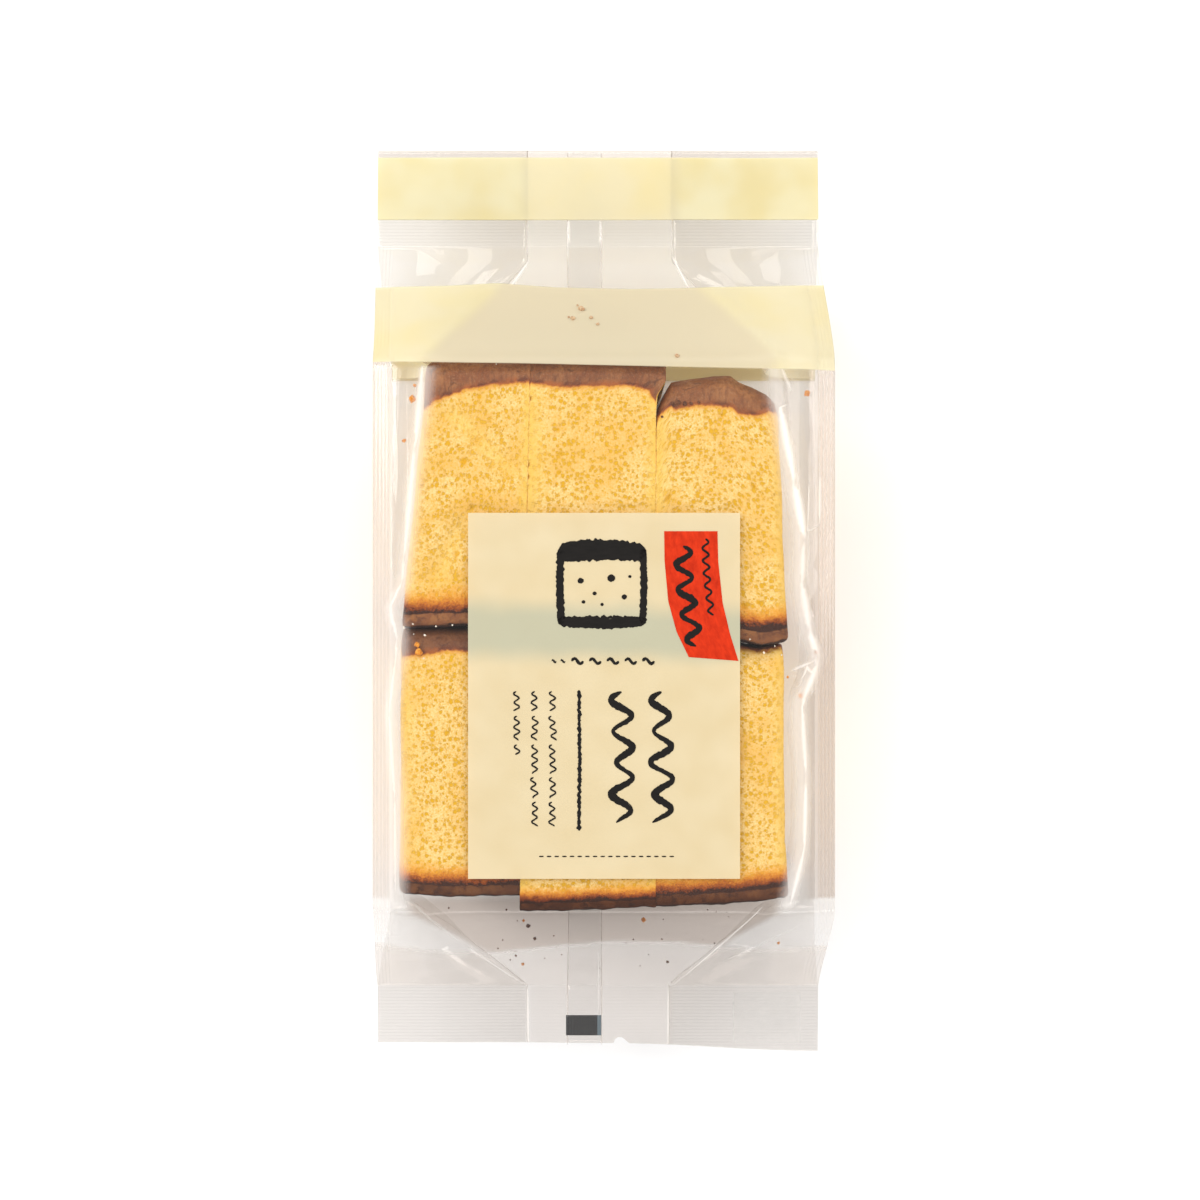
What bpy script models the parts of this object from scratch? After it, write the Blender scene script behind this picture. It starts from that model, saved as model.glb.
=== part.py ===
"""A clear side-gusseted bag of six castella sponge slices, lying on its back.

The closed bag is one solid out to its film: a broad front panel over the slices,
a flat back panel to lie on, four creased edges that stand out as ears along the
sides, gussets that fold in between them, sloping ends, and the two flat heat seals.
A thin rectangular label lies on the front panel.

X runs across the bag, +Y towards the printed end and +Z up out of the front panel.
The origin is under the middle of the bag, on the surface that it lies on.
"""

import math

import bmesh
import bpy
from mathutils import Vector

MM = 0.001

# The empty bag, as it is made from its tube of film
BAG_WIDTH = 115 * MM
BAG_LENGTH = 235.5 * MM
GUSSET_FOLD = 37.5 * MM
EDGE_THICKNESS = 0.8 * MM
SIDEWAYS_LEAN = 0.75 * MM

# What the slices inside it fill
FILLED_HEIGHT = 62 * MM
FILLED_LEFT = -50.4 * MM
FILLED_RIGHT = 47.6 * MM
FILLED_TOP = 59 * MM
FILLED_BOTTOM = -77 * MM
BACK_TOP = 64 * MM
BACK_BOTTOM = -84 * MM

# The flat heat seals at the two ends
TOP_SEAL = 92.6 * MM
BOTTOM_SEAL = -100.2 * MM
SEAL_HEIGHT = 28 * MM
SEAL_THICKNESS = 1.2 * MM
SEAL_GAP = 0.3 * MM
SEAL_DROOP = 1.5 * MM
SEAL_OVERLAP = 0.6 * MM
SEAL_OVERHANG = 0.15 * MM
BOTTOM_EDGE_SLANT = 2.3 * MM
TEAR_NICK_X = 5.2 * MM
TEAR_NICK_RADIUS = 1.4 * MM

# How softly the film turns over the edges of the food
FRONT_TURN = 7 * MM
BACK_TURN = 5 * MM
EAR_DROOP = 2.2 * MM
HUGGING_POWER = 4

# The label on the front panel
LABEL_WIDTH = 67.4 * MM
LABEL_LENGTH = 90.7 * MM
LABEL_CENTRE = (0.8 * MM, -23.5 * MM)
LABEL_THICKNESS = 0.3 * MM
LABEL_GAP = 0.3 * MM

FRONT_POINTS = 13
BACK_POINTS = 9
GUSSET_POINTS = 6
BULGE_RINGS = 13
END_RINGS = 17
SEAL_COLUMNS = 25
SEAL_ROWS = 5
NICK_POINTS = 7
LABEL_COLUMNS = 9
LABEL_ROWS = 13
SHARP_ANGLE = math.radians(30)


def clear_scene():
    for thing in list(bpy.data.objects):
        bpy.data.objects.remove(thing, do_unlink=True)


def material(name, colour, roughness, metallic=0.0):
    made = bpy.data.materials.new(name)
    made.use_nodes = True
    shader = made.node_tree.nodes["Principled BSDF"]
    shader.inputs["Base Color"].default_value = (*colour, 1.0)
    shader.inputs["Roughness"].default_value = roughness
    shader.inputs["Metallic"].default_value = metallic
    return made


def mix(start, end, share):
    return start + (end - start) * share


def clamp(value):
    return min(max(value, 0.0), 1.0)


def ease(share):
    share = clamp(share)
    return share * share * (3 - 2 * share)


def spaced(start, end, count):
    return [mix(start, end, step / (count - 1)) for step in range(count)]


def soft_min(first, second, turn):
    """The lower of two heights, with a round turn where they cross."""
    near = max(turn - abs(first - second), 0.0) / turn
    return min(first, second) - near * near * turn / 4


def towards_seal(y):
    """0 over the food, rising to 1 where an end seal starts."""
    top = (y - FILLED_TOP) / (TOP_SEAL - FILLED_TOP)
    bottom = (FILLED_BOTTOM - y) / (FILLED_BOTTOM - BOTTOM_SEAL)
    return clamp(max(top, bottom))


def lean(y):
    """The filled middle of the bag stands a little to the right of its seals."""
    return SIDEWAYS_LEAN * (1 - 2 * ease(towards_seal(y)))


def front_height(across, y):
    """Height of the front panel, where across is -1 to 1 between its creases."""
    seal_face = SEAL_HEIGHT + SEAL_THICKNESS / 2 - SEAL_GAP / 2
    drop = FILLED_HEIGHT - seal_face
    top_slope = seal_face + max(TOP_SEAL - y, 0.0) * drop / (TOP_SEAL - FILLED_TOP)
    bottom_slope = seal_face + max(y - BOTTOM_SEAL, 0.0) * drop / (FILLED_BOTTOM - BOTTOM_SEAL)
    height = soft_min(FILLED_HEIGHT, min(top_slope, bottom_slope), FRONT_TURN)
    filled_half = (FILLED_RIGHT - FILLED_LEFT) / BAG_WIDTH
    outside = max(abs(across) - filled_half, 0.0) / (1 - filled_half)
    return height - EAR_DROOP * outside**1.5 * (1 - towards_seal(y))


def back_height(y):
    seal_face = SEAL_HEIGHT - SEAL_THICKNESS / 2 + SEAL_GAP / 2
    top_slope = (y - BACK_TOP) * seal_face / (TOP_SEAL - BACK_TOP)
    bottom_slope = (BACK_BOTTOM - y) * seal_face / (BACK_BOTTOM - BOTTOM_SEAL)
    slope = min(max(top_slope, bottom_slope), seal_face)
    return -soft_min(0.0, -slope, BACK_TURN)


def edge_thickness(y):
    """The creased edges thin out where they run into a seal."""
    at_seal = (SEAL_THICKNESS - 2 * SEAL_GAP) / 2
    return mix(EDGE_THICKNESS, at_seal, towards_seal(y))


def valley(y, side):
    """Where a gusset is folded in: its place across the bag, and its height."""
    share = towards_seal(y)
    filled = FILLED_RIGHT if side > 0 else FILLED_LEFT
    folded = side * (BAG_WIDTH / 2 - GUSSET_FOLD) + lean(y)
    return mix(filled, folded, share), mix(FILLED_HEIGHT / 2, SEAL_HEIGHT, share)


def gusset(y, side, from_front):
    """Points of one gusset panel, from its creased edge in towards the valley."""
    crease_x = side * BAG_WIDTH / 2 + lean(y)
    if from_front:
        crease_z = front_height(side, y) - edge_thickness(y)
    else:
        crease_z = back_height(y) + edge_thickness(y)
    valley_x, valley_z = valley(y, side)
    power = mix(HUGGING_POWER, 1.0, ease(towards_seal(y)))
    points = []
    for step in range(GUSSET_POINTS):
        share = step / GUSSET_POINTS
        x = valley_x + (crease_x - valley_x) * (1 - share) ** power
        points.append((x, mix(crease_z, valley_z, share)))
    return points


def ring(y):
    """The bag's outline at one place along it, all the way round."""
    shift = lean(y)
    half = BAG_WIDTH / 2
    front = [(across * half + shift, front_height(across, y)) for across in spaced(-1, 1, FRONT_POINTS)]
    back = [(across * half + shift, back_height(y)) for across in spaced(1, -1, BACK_POINTS)]
    outline = list(front)
    outline += gusset(y, 1, True)
    outline.append(valley(y, 1))
    outline += reversed(gusset(y, 1, False))
    outline += back
    outline += gusset(y, -1, False)
    outline.append(valley(y, -1))
    outline += reversed(gusset(y, -1, True))
    return [Vector((x, y, z)) for x, z in outline]


def ring_places():
    """Rings lie close together on the sloping ends and wide apart over the food."""
    bottom = spaced(BOTTOM_SEAL - SEAL_OVERLAP, FILLED_BOTTOM + FRONT_TURN, END_RINGS)
    top = spaced(FILLED_TOP - FRONT_TURN, TOP_SEAL + SEAL_OVERLAP, END_RINGS)
    middle = spaced(bottom[-1], top[0], BULGE_RINGS)
    return bottom + middle[1:-1] + top


def shade(mesh):
    mesh.shade_smooth()
    mesh.set_sharp_from_angle(angle=SHARP_ANGLE)


def mesh_object(name, shape, finish=None):
    bmesh.ops.recalc_face_normals(shape, faces=shape.faces)
    mesh = bpy.data.meshes.new(name)
    shape.to_mesh(mesh)
    shape.free()
    shade(mesh)
    if finish:
        mesh.materials.append(finish)
    made = bpy.data.objects.new(name, mesh)
    bpy.context.scene.collection.objects.link(made)
    return made


def loft(rings):
    """A closed solid through outlines that have the same number of points."""
    shape = bmesh.new()
    loops = [[shape.verts.new(point) for point in points] for points in rings]
    count = len(loops[0])
    for one, other in zip(loops, loops[1:]):
        for start in range(count):
            end = (start + 1) % count
            shape.faces.new((one[start], one[end], other[end], other[start]))
    shape.faces.new(loops[0])
    shape.faces.new(reversed(loops[-1]))
    return shape


def sheet_solid(columns, rows, bottom_point, top_point):
    """A closed thin slab between two surfaces sampled on the same grid."""
    outlines = []
    for row in rows:
        under = [bottom_point(column, row) for column in columns]
        over = [top_point(column, row) for column in reversed(columns)]
        outlines.append(under + over)
    return loft(outlines)


def seal_columns():
    """Places across a seal, with more of them round the tear nick."""
    half = BAG_WIDTH / 2 + SEAL_OVERHANG
    nick = [
        TEAR_NICK_X - TEAR_NICK_RADIUS * math.cos(math.pi * step / (NICK_POINTS - 1))
        for step in range(NICK_POINTS)
    ]
    evenly = spaced(-half, half, SEAL_COLUMNS)
    clear = [x for x in evenly if abs(x - TEAR_NICK_X) > 1.5 * TEAR_NICK_RADIUS]
    return sorted(clear + nick)


def bottom_edge(x):
    """The cut edge of the plain end: it slants, and has a half-round tear nick."""
    right = ease(2 * x / BAG_WIDTH)
    edge = -BAG_LENGTH / 2 + BOTTOM_EDGE_SLANT * (1 - right)
    inside = TEAR_NICK_RADIUS**2 - (x - TEAR_NICK_X) ** 2
    return edge + math.sqrt(max(inside, 0.0))


def seal(start, edge, name):
    """One flat heat seal, from where the slopes of the bag meet out to its cut edge."""
    inner = start - math.copysign(SEAL_OVERLAP, start)
    shift = lean(start)

    def place(x, share, offset):
        y = mix(inner, edge(x), share)
        z = SEAL_HEIGHT - SEAL_DROOP * share * share + offset
        return Vector((x + shift, y, z))

    half = SEAL_THICKNESS / 2
    shape = sheet_solid(
        seal_columns(),
        spaced(0, 1, SEAL_ROWS),
        lambda x, share: place(x, share, -half),
        lambda x, share: place(x, share, half),
    )
    return mesh_object(name, shape)


def build_bag(film):
    bag = mesh_object("bag", loft([ring(y) for y in ring_places()]), film)
    seals = bpy.data.collections.new("seals")
    for start, edge, name in (
        (TOP_SEAL, lambda x: BAG_LENGTH / 2, "top_seal"),
        (BOTTOM_SEAL, bottom_edge, "bottom_seal"),
    ):
        plate = seal(start, edge, name)
        bpy.context.scene.collection.objects.unlink(plate)
        seals.objects.link(plate)
    union = bag.modifiers.new("join_seals", "BOOLEAN")
    union.operation = "UNION"
    union.operand_type = "COLLECTION"
    union.collection = seals
    bpy.context.view_layer.update()
    depsgraph = bpy.context.evaluated_depsgraph_get()
    joined = bpy.data.meshes.new_from_object(bag.evaluated_get(depsgraph))
    bag.modifiers.remove(union)
    bag.data = joined
    shade(joined)
    for plate in list(seals.objects):
        bpy.data.objects.remove(plate, do_unlink=True)
    bpy.data.collections.remove(seals)
    return bag


def build_label(paper):
    """A thin plate that follows the front panel, with a hair of room under it."""
    middle_x, middle_y = LABEL_CENTRE
    columns = spaced(middle_x - LABEL_WIDTH / 2, middle_x + LABEL_WIDTH / 2, LABEL_COLUMNS)
    rows = spaced(middle_y - LABEL_LENGTH / 2, middle_y + LABEL_LENGTH / 2, LABEL_ROWS)

    def over_panel(x, y, gap):
        across = (x - lean(y)) * 2 / BAG_WIDTH
        return Vector((x, y, front_height(across, y) + gap))

    shape = sheet_solid(
        columns,
        rows,
        lambda x, y: over_panel(x, y, LABEL_GAP),
        lambda x, y: over_panel(x, y, LABEL_GAP + LABEL_THICKNESS),
    )
    return mesh_object("label", shape, paper)


def main():
    clear_scene()
    film = material("clear_film_over_sponge", (0.93, 0.76, 0.40), 0.18)
    paper = material("label_paper", (0.93, 0.77, 0.50), 0.45)
    build_bag(film)
    build_label(paper)


main()
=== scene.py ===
import math
from functools import partial
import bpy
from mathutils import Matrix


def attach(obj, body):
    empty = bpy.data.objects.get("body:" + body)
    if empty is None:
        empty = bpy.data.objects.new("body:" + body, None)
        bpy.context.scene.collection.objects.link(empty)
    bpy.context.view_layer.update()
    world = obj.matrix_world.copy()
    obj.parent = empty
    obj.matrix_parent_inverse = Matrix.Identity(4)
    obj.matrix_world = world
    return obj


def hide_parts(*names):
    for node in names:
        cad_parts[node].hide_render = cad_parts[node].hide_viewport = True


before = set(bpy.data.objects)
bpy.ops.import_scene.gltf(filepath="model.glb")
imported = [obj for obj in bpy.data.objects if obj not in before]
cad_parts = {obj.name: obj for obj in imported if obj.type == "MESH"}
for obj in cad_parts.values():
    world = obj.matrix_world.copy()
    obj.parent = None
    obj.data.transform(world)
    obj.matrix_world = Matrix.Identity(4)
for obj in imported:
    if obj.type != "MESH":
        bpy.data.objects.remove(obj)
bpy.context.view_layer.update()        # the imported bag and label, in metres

from types import SimpleNamespace

import bpy
import numpy as np
from mathutils import Vector, noise
from mathutils.bvhtree import BVHTree
from mathutils.geometry import delaunay_2d_cdt

mm = 0.001               # all the sizes below are in millimetres


def srgb(code):
    # an sRGB hex colour as the linear values that a shader takes
    values = [int(code[i:i + 2], 16) / 255 for i in (1, 3, 5)]
    linear = [v / 12.92 if v <= 0.04045 else ((v + 0.055) / 1.055) ** 2.4 for v in values]
    return (*linear, 1.0)


def mix(start, end, share):
    # a value this share of the way from start to end
    return start + (end - start) * share


def ease(share):
    # a share from 0 to 1 that starts and stops gently
    share = np.clip(share, 0.0, 1.0)
    return share * share * (3 - 2 * share)


def softMin(first, second, turn):
    # the lower of two heights, rounded where they cross over this width
    near = np.maximum(turn - np.abs(first - second), 0.0) / turn
    return np.minimum(first, second) - near * near * turn / 4


def along(x, pairs):
    # a value read off a row of (place, value) pairs
    places, values = zip(*pairs)
    return np.interp(x, places, values)


mathNode, mixNode, rangeNode = "ShaderNodeMath", "ShaderNodeMix", "ShaderNodeMapRange"
noiseNode, attributeNode = "ShaderNodeTexNoise", "ShaderNodeAttribute"
principledNode, vectorNode = "ShaderNodeBsdfPrincipled", "ShaderNodeVectorMath"
smoothStep = {"interpolation_type": "SMOOTHSTEP"}


def addNode(tree, kind, inputs=(), out=0, **settings):
    # one node with its settings: its inputs are fed in order or by name, and one output comes back
    node = tree.nodes.new(kind)
    for name, value in settings.items():
        setattr(node, name, value)
    for name, value in inputs.items() if isinstance(inputs, dict) else enumerate(inputs):
        if isinstance(value, bpy.types.NodeSocket):
            tree.links.new(value, node.inputs[name])
        elif value is not None:
            node.inputs[name].default_value = value
    return node.outputs[out] if node.outputs else None


def newMaterial(name):
    made = bpy.data.materials.new(name)
    made.use_nodes = True
    made.node_tree.nodes.clear()
    return made, made.node_tree


def meshObject(name, points, faces, material, smooth=True, values=None):
    # points in millimetres; values are named numbers or vectors for each point
    mesh = bpy.data.meshes.new(name)
    mesh.from_pydata((np.asarray(points, dtype=float) * mm).tolist(), [], faces)
    mesh.update()
    for key, data in (values or {}).items():
        data = np.asarray(data, dtype=np.float32)
        kind = "FLOAT_VECTOR" if data.ndim == 2 else "FLOAT"
        layer = mesh.attributes.new(key, kind, "POINT")
        layer.data.foreach_set("vector" if data.ndim == 2 else "value", data.ravel())
    if smooth:
        mesh.shade_smooth()
    if material:
        mesh.materials.append(material)
    made = bpy.data.objects.new(name, mesh)
    bpy.context.scene.collection.objects.link(made)
    return made


def faceOutwards(points, faces):
    # turns a closed shape's faces over if it is inside out
    points = np.asarray(points)
    volume = 0.0
    for face in faces:
        corner = points[face[0]]
        for i in range(1, len(face) - 1):
            volume += np.dot(corner, np.cross(points[face[i]], points[face[i + 1]]))
    return faces if volume > 0 else [tuple(reversed(face)) for face in faces]


def nodesTree(name, inputs):
    # a Geometry Nodes tree with a geometry input and named sizes
    tree = bpy.data.node_groups.new(name, "GeometryNodeTree")
    tree.interface.new_socket("Geometry", in_out="OUTPUT", socket_type="NodeSocketGeometry")
    tree.interface.new_socket("Geometry", in_out="INPUT", socket_type="NodeSocketGeometry")
    for label, (kind, value) in inputs.items():
        socket = tree.interface.new_socket(label, in_out="INPUT", socket_type=kind)
        if value is not None:
            socket.default_value = value
    return tree, tree.nodes.new("NodeGroupInput")


def closeTree(tree, geometry, material):
    real = addNode(tree, "GeometryNodeRealizeInstances", {"Geometry": geometry})
    painted = addNode(tree, "GeometryNodeSetMaterial", {"Geometry": real, "Material": material})
    addNode(tree, "NodeGroupOutput", {"Geometry": painted})


def growWith(thing, tree, settings):
    # runs the tree on the object and keeps the result as its plain mesh
    modifier = thing.modifiers.new(tree.name, "NODES")
    modifier.node_group = tree
    for item in tree.interface.items_tree:
        if item.item_type == "SOCKET" and item.in_out == "INPUT" and item.name in settings:
            modifier[item.identifier] = settings[item.name]
    bpy.context.view_layer.update()
    evaluated = thing.evaluated_get(bpy.context.evaluated_depsgraph_get())
    mesh = bpy.data.meshes.new_from_object(evaluated)
    thing.modifiers.remove(modifier)
    old = thing.data
    thing.data = mesh
    bpy.data.meshes.remove(old)
    mesh.name = thing.name
    return thing


view = {
    "height": 702.0,          # camera above the floor
    "middle": (-0.2, 0.25),   # what it looks straight down on
    "lens": 77.42,
    "near": 0.01,             # metres
    "floor": "#fafcff",
    "floorReach": 2500,
    "floorDrop": 0.3,
    "floorGrain": 60,
    "world": 0.6,
    "worldTint": (1.0, 0.997, 0.99, 1.0),
    "lightTint": (1.0, 0.995, 0.985),
    "lightsAim": (0, 0, 30),
    # low round the table, so that the flat front of the bag mirrors none: place, size, power
    "softboxes": {
        "left": ((-700, 250, 620), (260, 900), 4.9),
        "right": ((720, 120, 560), (240, 900), 2.9),
        "top": ((0, 760, 640), (1000, 300), 3.1),
        "bottom": ((60, -760, 480), (1000, 260), 2.8),
    },
}


def areaLight(name, place, size, power):
    lamp = bpy.data.lights.new(name, "AREA")
    lamp.shape = "RECTANGLE"
    lamp.size, lamp.size_y = size[0] * mm, size[1] * mm
    lamp.energy = power
    lamp.color = view["lightTint"]
    made = bpy.data.objects.new(name, lamp)
    made.location = Vector(place) * mm
    made.rotation_euler = (Vector(view["lightsAim"]) - Vector(place)).to_track_quat("-Z", "Y").to_euler()
    bpy.context.scene.collection.objects.link(made)


def buildStudio():
    scene = bpy.context.scene
    lens = bpy.data.cameras.new("camera")
    lens.lens = view["lens"]
    lens.sensor_width = 36
    lens.clip_start = view["near"]
    camera = bpy.data.objects.new("camera", lens)
    camera.location = Vector((*view["middle"], view["height"])) * mm
    scene.collection.objects.link(camera)
    scene.camera = camera
    scene.view_settings.view_transform = "Standard"

    world = bpy.data.worlds.new("studio")
    world.use_nodes = True
    glow = world.node_tree.nodes["Background"].inputs
    glow["Color"].default_value = view["worldTint"]
    glow["Strength"].default_value = view["world"]
    scene.world = world

    for side, (place, size, power) in view["softboxes"].items():
        areaLight(f"softbox_{side}", place, size, power)


def buildFloor():
    # matt white acrylic table: flat, even and nearly white
    paint, tree = newMaterial("matt white table")
    add = partial(addNode, tree)
    place = add("ShaderNodeTexCoord", out="Object")
    shade = add(noiseNode, {"Vector": place, "Scale": 1 / (view["floorGrain"] * mm)})
    tone = add(mixNode, {0: shade, 6: srgb(view["floor"]), 7: srgb("#ffffff")}, 2, data_type="RGBA")
    shader = add(principledNode, {"Base Color": tone, "Roughness": 0.8})
    add("ShaderNodeOutputMaterial", [shader])
    reach, level = view["floorReach"], -view["floorDrop"]
    corners = [(x * reach, y * reach, level) for x, y in ((-1, -1), (1, -1), (1, 1), (-1, 1))]
    floor = meshObject("floor", corners, [(0, 1, 2, 3)], paint, smooth=False)


buildStudio()
buildFloor()
print("studio ready")


# the shape that the film keeps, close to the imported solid's
pack = {
    "width": 115.0,
    "length": 235.5,
    "foldIn": 39.2,           # how deep a gusset folds in at the seals
    "lean": 0.75,
    "height": 62.0,
    "wallLeft": -50.6,        # the gussets over the slices
    "wallRight": 47.9,
    "foodTop": 60.3,
    "foodBottom": -77.6,
    "backTop": 64.0,
    "backBottom": -84.0,
    "topSeal": 92.6,
    "bottomSeal": -100.2,
    "sealHeight": 28.0,
    "sealDroop": 1.5,
    "edgeSlant": 2.3,
    "nickAt": 5.0,
    "nickRadius": 1.6,
    "frontTurn": 2.4,
    "backTurn": 5.0,
    "earDroop": 2.2,
    "fin": 4.6,               # width of the pressed ribs along each long edge
    "underside": 0.25,        # the back film, just above its own lapped seam
}


def towardsSeal(y):
    top = (y - pack["foodTop"]) / (pack["topSeal"] - pack["foodTop"])
    bottom = (pack["foodBottom"] - y) / (pack["foodBottom"] - pack["bottomSeal"])
    return np.clip(np.maximum(top, bottom), 0.0, 1.0)


def leanAt(y):
    return pack["lean"] * (1 - 2 * ease(towardsSeal(y)))


def droopAt(y):
    # the flat end seals hang a little towards their cut edges
    top = (y - pack["topSeal"]) / (pack["length"] / 2 - pack["topSeal"])
    bottom = (pack["bottomSeal"] - y) / (pack["length"] / 2 + pack["bottomSeal"])
    share = np.clip(np.maximum(top, bottom), 0.0, 1.0)
    return pack["sealDroop"] * share * share


def frontHeight(x, y, sealFace=0.45):
    face = pack["sealHeight"] + sealFace
    drop = pack["height"] - face
    top = face + np.maximum(pack["topSeal"] - y, 0) * drop / (pack["topSeal"] - pack["foodTop"])
    bottom = face + np.maximum(y - pack["bottomSeal"], 0) * drop / (pack["foodBottom"] - pack["bottomSeal"])
    height = softMin(pack["height"], np.minimum(top, bottom), pack["frontTurn"])
    half = pack["width"] / 2
    filled = (pack["wallRight"] - pack["wallLeft"]) / 2
    outside = np.maximum(np.abs(x - leanAt(y)) - filled, 0) / (half - filled)
    return height - pack["earDroop"] * outside ** 1.5 * (1 - towardsSeal(y)) - droopAt(y)


def backHeight(y, sealFace=-0.45):
    face = pack["sealHeight"] + sealFace - pack["underside"]
    top = (y - pack["backTop"]) * face / (pack["topSeal"] - pack["backTop"])
    bottom = (pack["backBottom"] - y) * face / (pack["backBottom"] - pack["bottomSeal"])
    slope = np.minimum(np.maximum(top, bottom), face)
    return pack["underside"] - softMin(0.0, -slope, pack["backTurn"]) - droopAt(y)


def bottomEdge(x):
    edge = -pack["length"] / 2 + pack["edgeSlant"] * (1 - ease(2 * x / pack["width"]))
    inside = pack["nickRadius"] ** 2 - (x - pack["nickAt"]) ** 2
    return edge + np.sqrt(np.maximum(inside, 0))


sponge = {
    "width": 31.0,
    "tall": 67.0,
    "deep": 60.6,
    "floorGap": 0.6,
    "topRound": (6.5, 8.0),     # how far the crust rolls over: down, and into the depth
    "bottomRound": (1.6, 2.2),
    "crustThickness": 1.9,
    # the mesh across, up and into the depth: its step, how near an edge it is finer, and that step
    "grid": ((0.6, 3.0, 0.3), (0.6, 2.5, 0.35), (1.1, 8.0, 0.6)),
    "tinyPore": 0.66,
    "pore": 1.15,
    "largePore": 3.6,
    "largePoreDepth": 0.55,
    "sidePressed": 0.12,        # how far the hidden cut sides are pressed smooth
    "edgePressed": (2.4, 2.0),  # how far the pressed left and right edges of the face reach
    "dentPressed": 0.45,
    "wavePitch": 14.0,
    "waveHeight": 0.22,
    "ripplePitch": 3.2,
    "rippleHeight": (0.3, 0.15),
    "wrinklePitch": 2.8,
    "outerSide": 40,            # sides further out than this are uneven, as nothing presses on them
}

# Each slice: its left and right edges by millimetres down from the top, its top and bottom
# edges by share across, how far down the top crust shows by share across, how dark its
# bottom crust is baked (a value that also darkens its top crust as painted shade), how high it
# climbs as a share of the full height, and how deep the top crust is wrinkled
slices = {
    "slice_top_left": {
        "bakedAndShaded": 0.15,
        "browned": 1.0,
        "wrinkled": 0.15,
        "left": [(0, -43.7), (12, -44.3), (30, -46.1), (45, -47.6), (60, -49.0), (67, -49.8)],
        "right": [(0, -17.42), (30, -18.12), (67, -19.02)],
        "top": [(0, 59.6), (0.1, 60.6), (1, 60.9)],
        "bottom": [(0, -6.8), (0.5, -6.2), (1, -6.6)],
        "crust": [(0, 12.0), (0.12, 10.7), (0.4, 7.9), (0.7, 6.9), (1, 6.3)],
        "round": (2.6, 0.12),
        "dents": [((-37.0, 46.5), (-23.5, 33.5), 2.6, 1.3), ((-34.5, 20.5), (-41.0, 6.0), 2.8, 1.1)],
    },
    "slice_top_middle": {
        "bakedAndShaded": 0.3,
        "browned": 1.0,
        "wrinkled": 0.2,
        "left": [(0, -17.5), (30, -18.2), (67, -19.1)],
        "right": [(0, 16.2), (6.0, 16.2), (9.5, 14.1), (14, 13.75), (67, 13.68)],
        "top": [(0, 60.9), (0.5, 61.2), (1, 60.9)],
        "bottom": [(0, -6.6), (0.5, -6.7), (1, -7.4)],
        "crust": [(0, 6.6), (0.25, 7.9), (0.5, 7.7), (0.75, 7.4), (0.92, 8.6), (1, 11.5)],
        "round": (0.12, 0.12),
        "dents": [((-15.0, 44.0), (-16.5, 22.0), 2.0, 0.5)],
    },
    "slice_top_right": {
        "bakedAndShaded": 0.22,
        "browned": 1.0,
        "wrinkled": 0.9,
        "left": [(0, 13.9), (6, 13.7), (67, 13.6)],
        "right": [(0, 44.0), (12, 44.5), (40, 45.4), (67, 46.8)],
        "top": [(0, 47.6), (0.05, 51.0), (0.12, 54.9), (0.32, 55.9), (0.55, 56.6), (0.62, 56.5),
                (0.68, 55.2), (0.76, 54.1), (0.91, 51.9), (1, 49.6)],
        "bottom": [(0, -7.2), (0.4, -8.4), (0.8, -11.2), (1, -10.0)],
        "crust": [(0, 2.2), (0.15, 7.4), (0.32, 7.2), (0.5, 7.8), (0.67, 8.7), (0.83, 6.9), (1, 2.4)],
        "round": (0.12, 2.4),
        "dents": [],
    },
    "slice_bottom_left": {
        "bakedAndShaded": 0.7,
        "browned": 0.86,
        "wrinkled": 0.35,
        "left": [(0, -49.6), (10, -49.9), (67, -50.1)],
        "right": [(0, -19.32), (67, -20.12)],
        "top": [(0, -6.5), (0.2, -6.5), (0.5, -6.6), (1, -6.9)],
        "bottom": [(0, -72.9), (0.4, -73.7), (1, -73.4)],
        "crust": [(0, 7.3), (0.2, 6.6), (0.4, 5.6), (0.6, 6.0), (1, 6.4)],
        "round": (2.2, 0.12),
        "dents": [((-49.0, -20.0), (-47.0, -60.0), 2.2, 0.4)],
    },
    "slice_bottom_middle": {
        "bakedAndShaded": 0.75,
        "browned": 0.64,
        "wrinkled": 0.3,
        "left": [(0, -19.4), (67, -20.2)],
        "right": [(0, 13.48), (67, 13.78)],
        "top": [(0, -6.9), (0.5, -7.0), (1, -7.7)],
        "bottom": [(0, -77.3), (0.3, -77.2), (0.6, -76.8), (1, -76.2)],
        "crust": [(0, 6.4), (1, 6.0)],
        "round": (0.12, 0.12),
        "dents": [],
    },
    "slice_bottom_right": {
        "bakedAndShaded": 0.65,
        "browned": 0.88,
        "wrinkled": 0.3,
        "left": [(0, 13.4), (67, 13.7)],
        "right": [(0, 45.4), (12, 45.6), (50, 45.8), (67, 46.9)],
        "top": [(0, -7.6), (0.4, -8.8), (0.8, -11.6), (1, -10.4)],
        "bottom": [(0, -76.1), (0.5, -75.5), (0.8, -74.7), (1, -73.8)],
        "crust": [(0, 4.6), (0.4, 2.6), (0.7, 0.9), (1, 0.8)],
        "round": (0.12, 2.2),
        "dents": [],
    },
}


def spacedLines(length, step, fineAt, fineStep):
    # shares of a length, closer together near its two ends
    places = [0.0]
    while places[-1] < length:
        near = min(places[-1], length - places[-1])
        places.append(places[-1] + (fineStep if near < fineAt else step))
    places = np.array(places)
    return places / places[-1]


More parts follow.
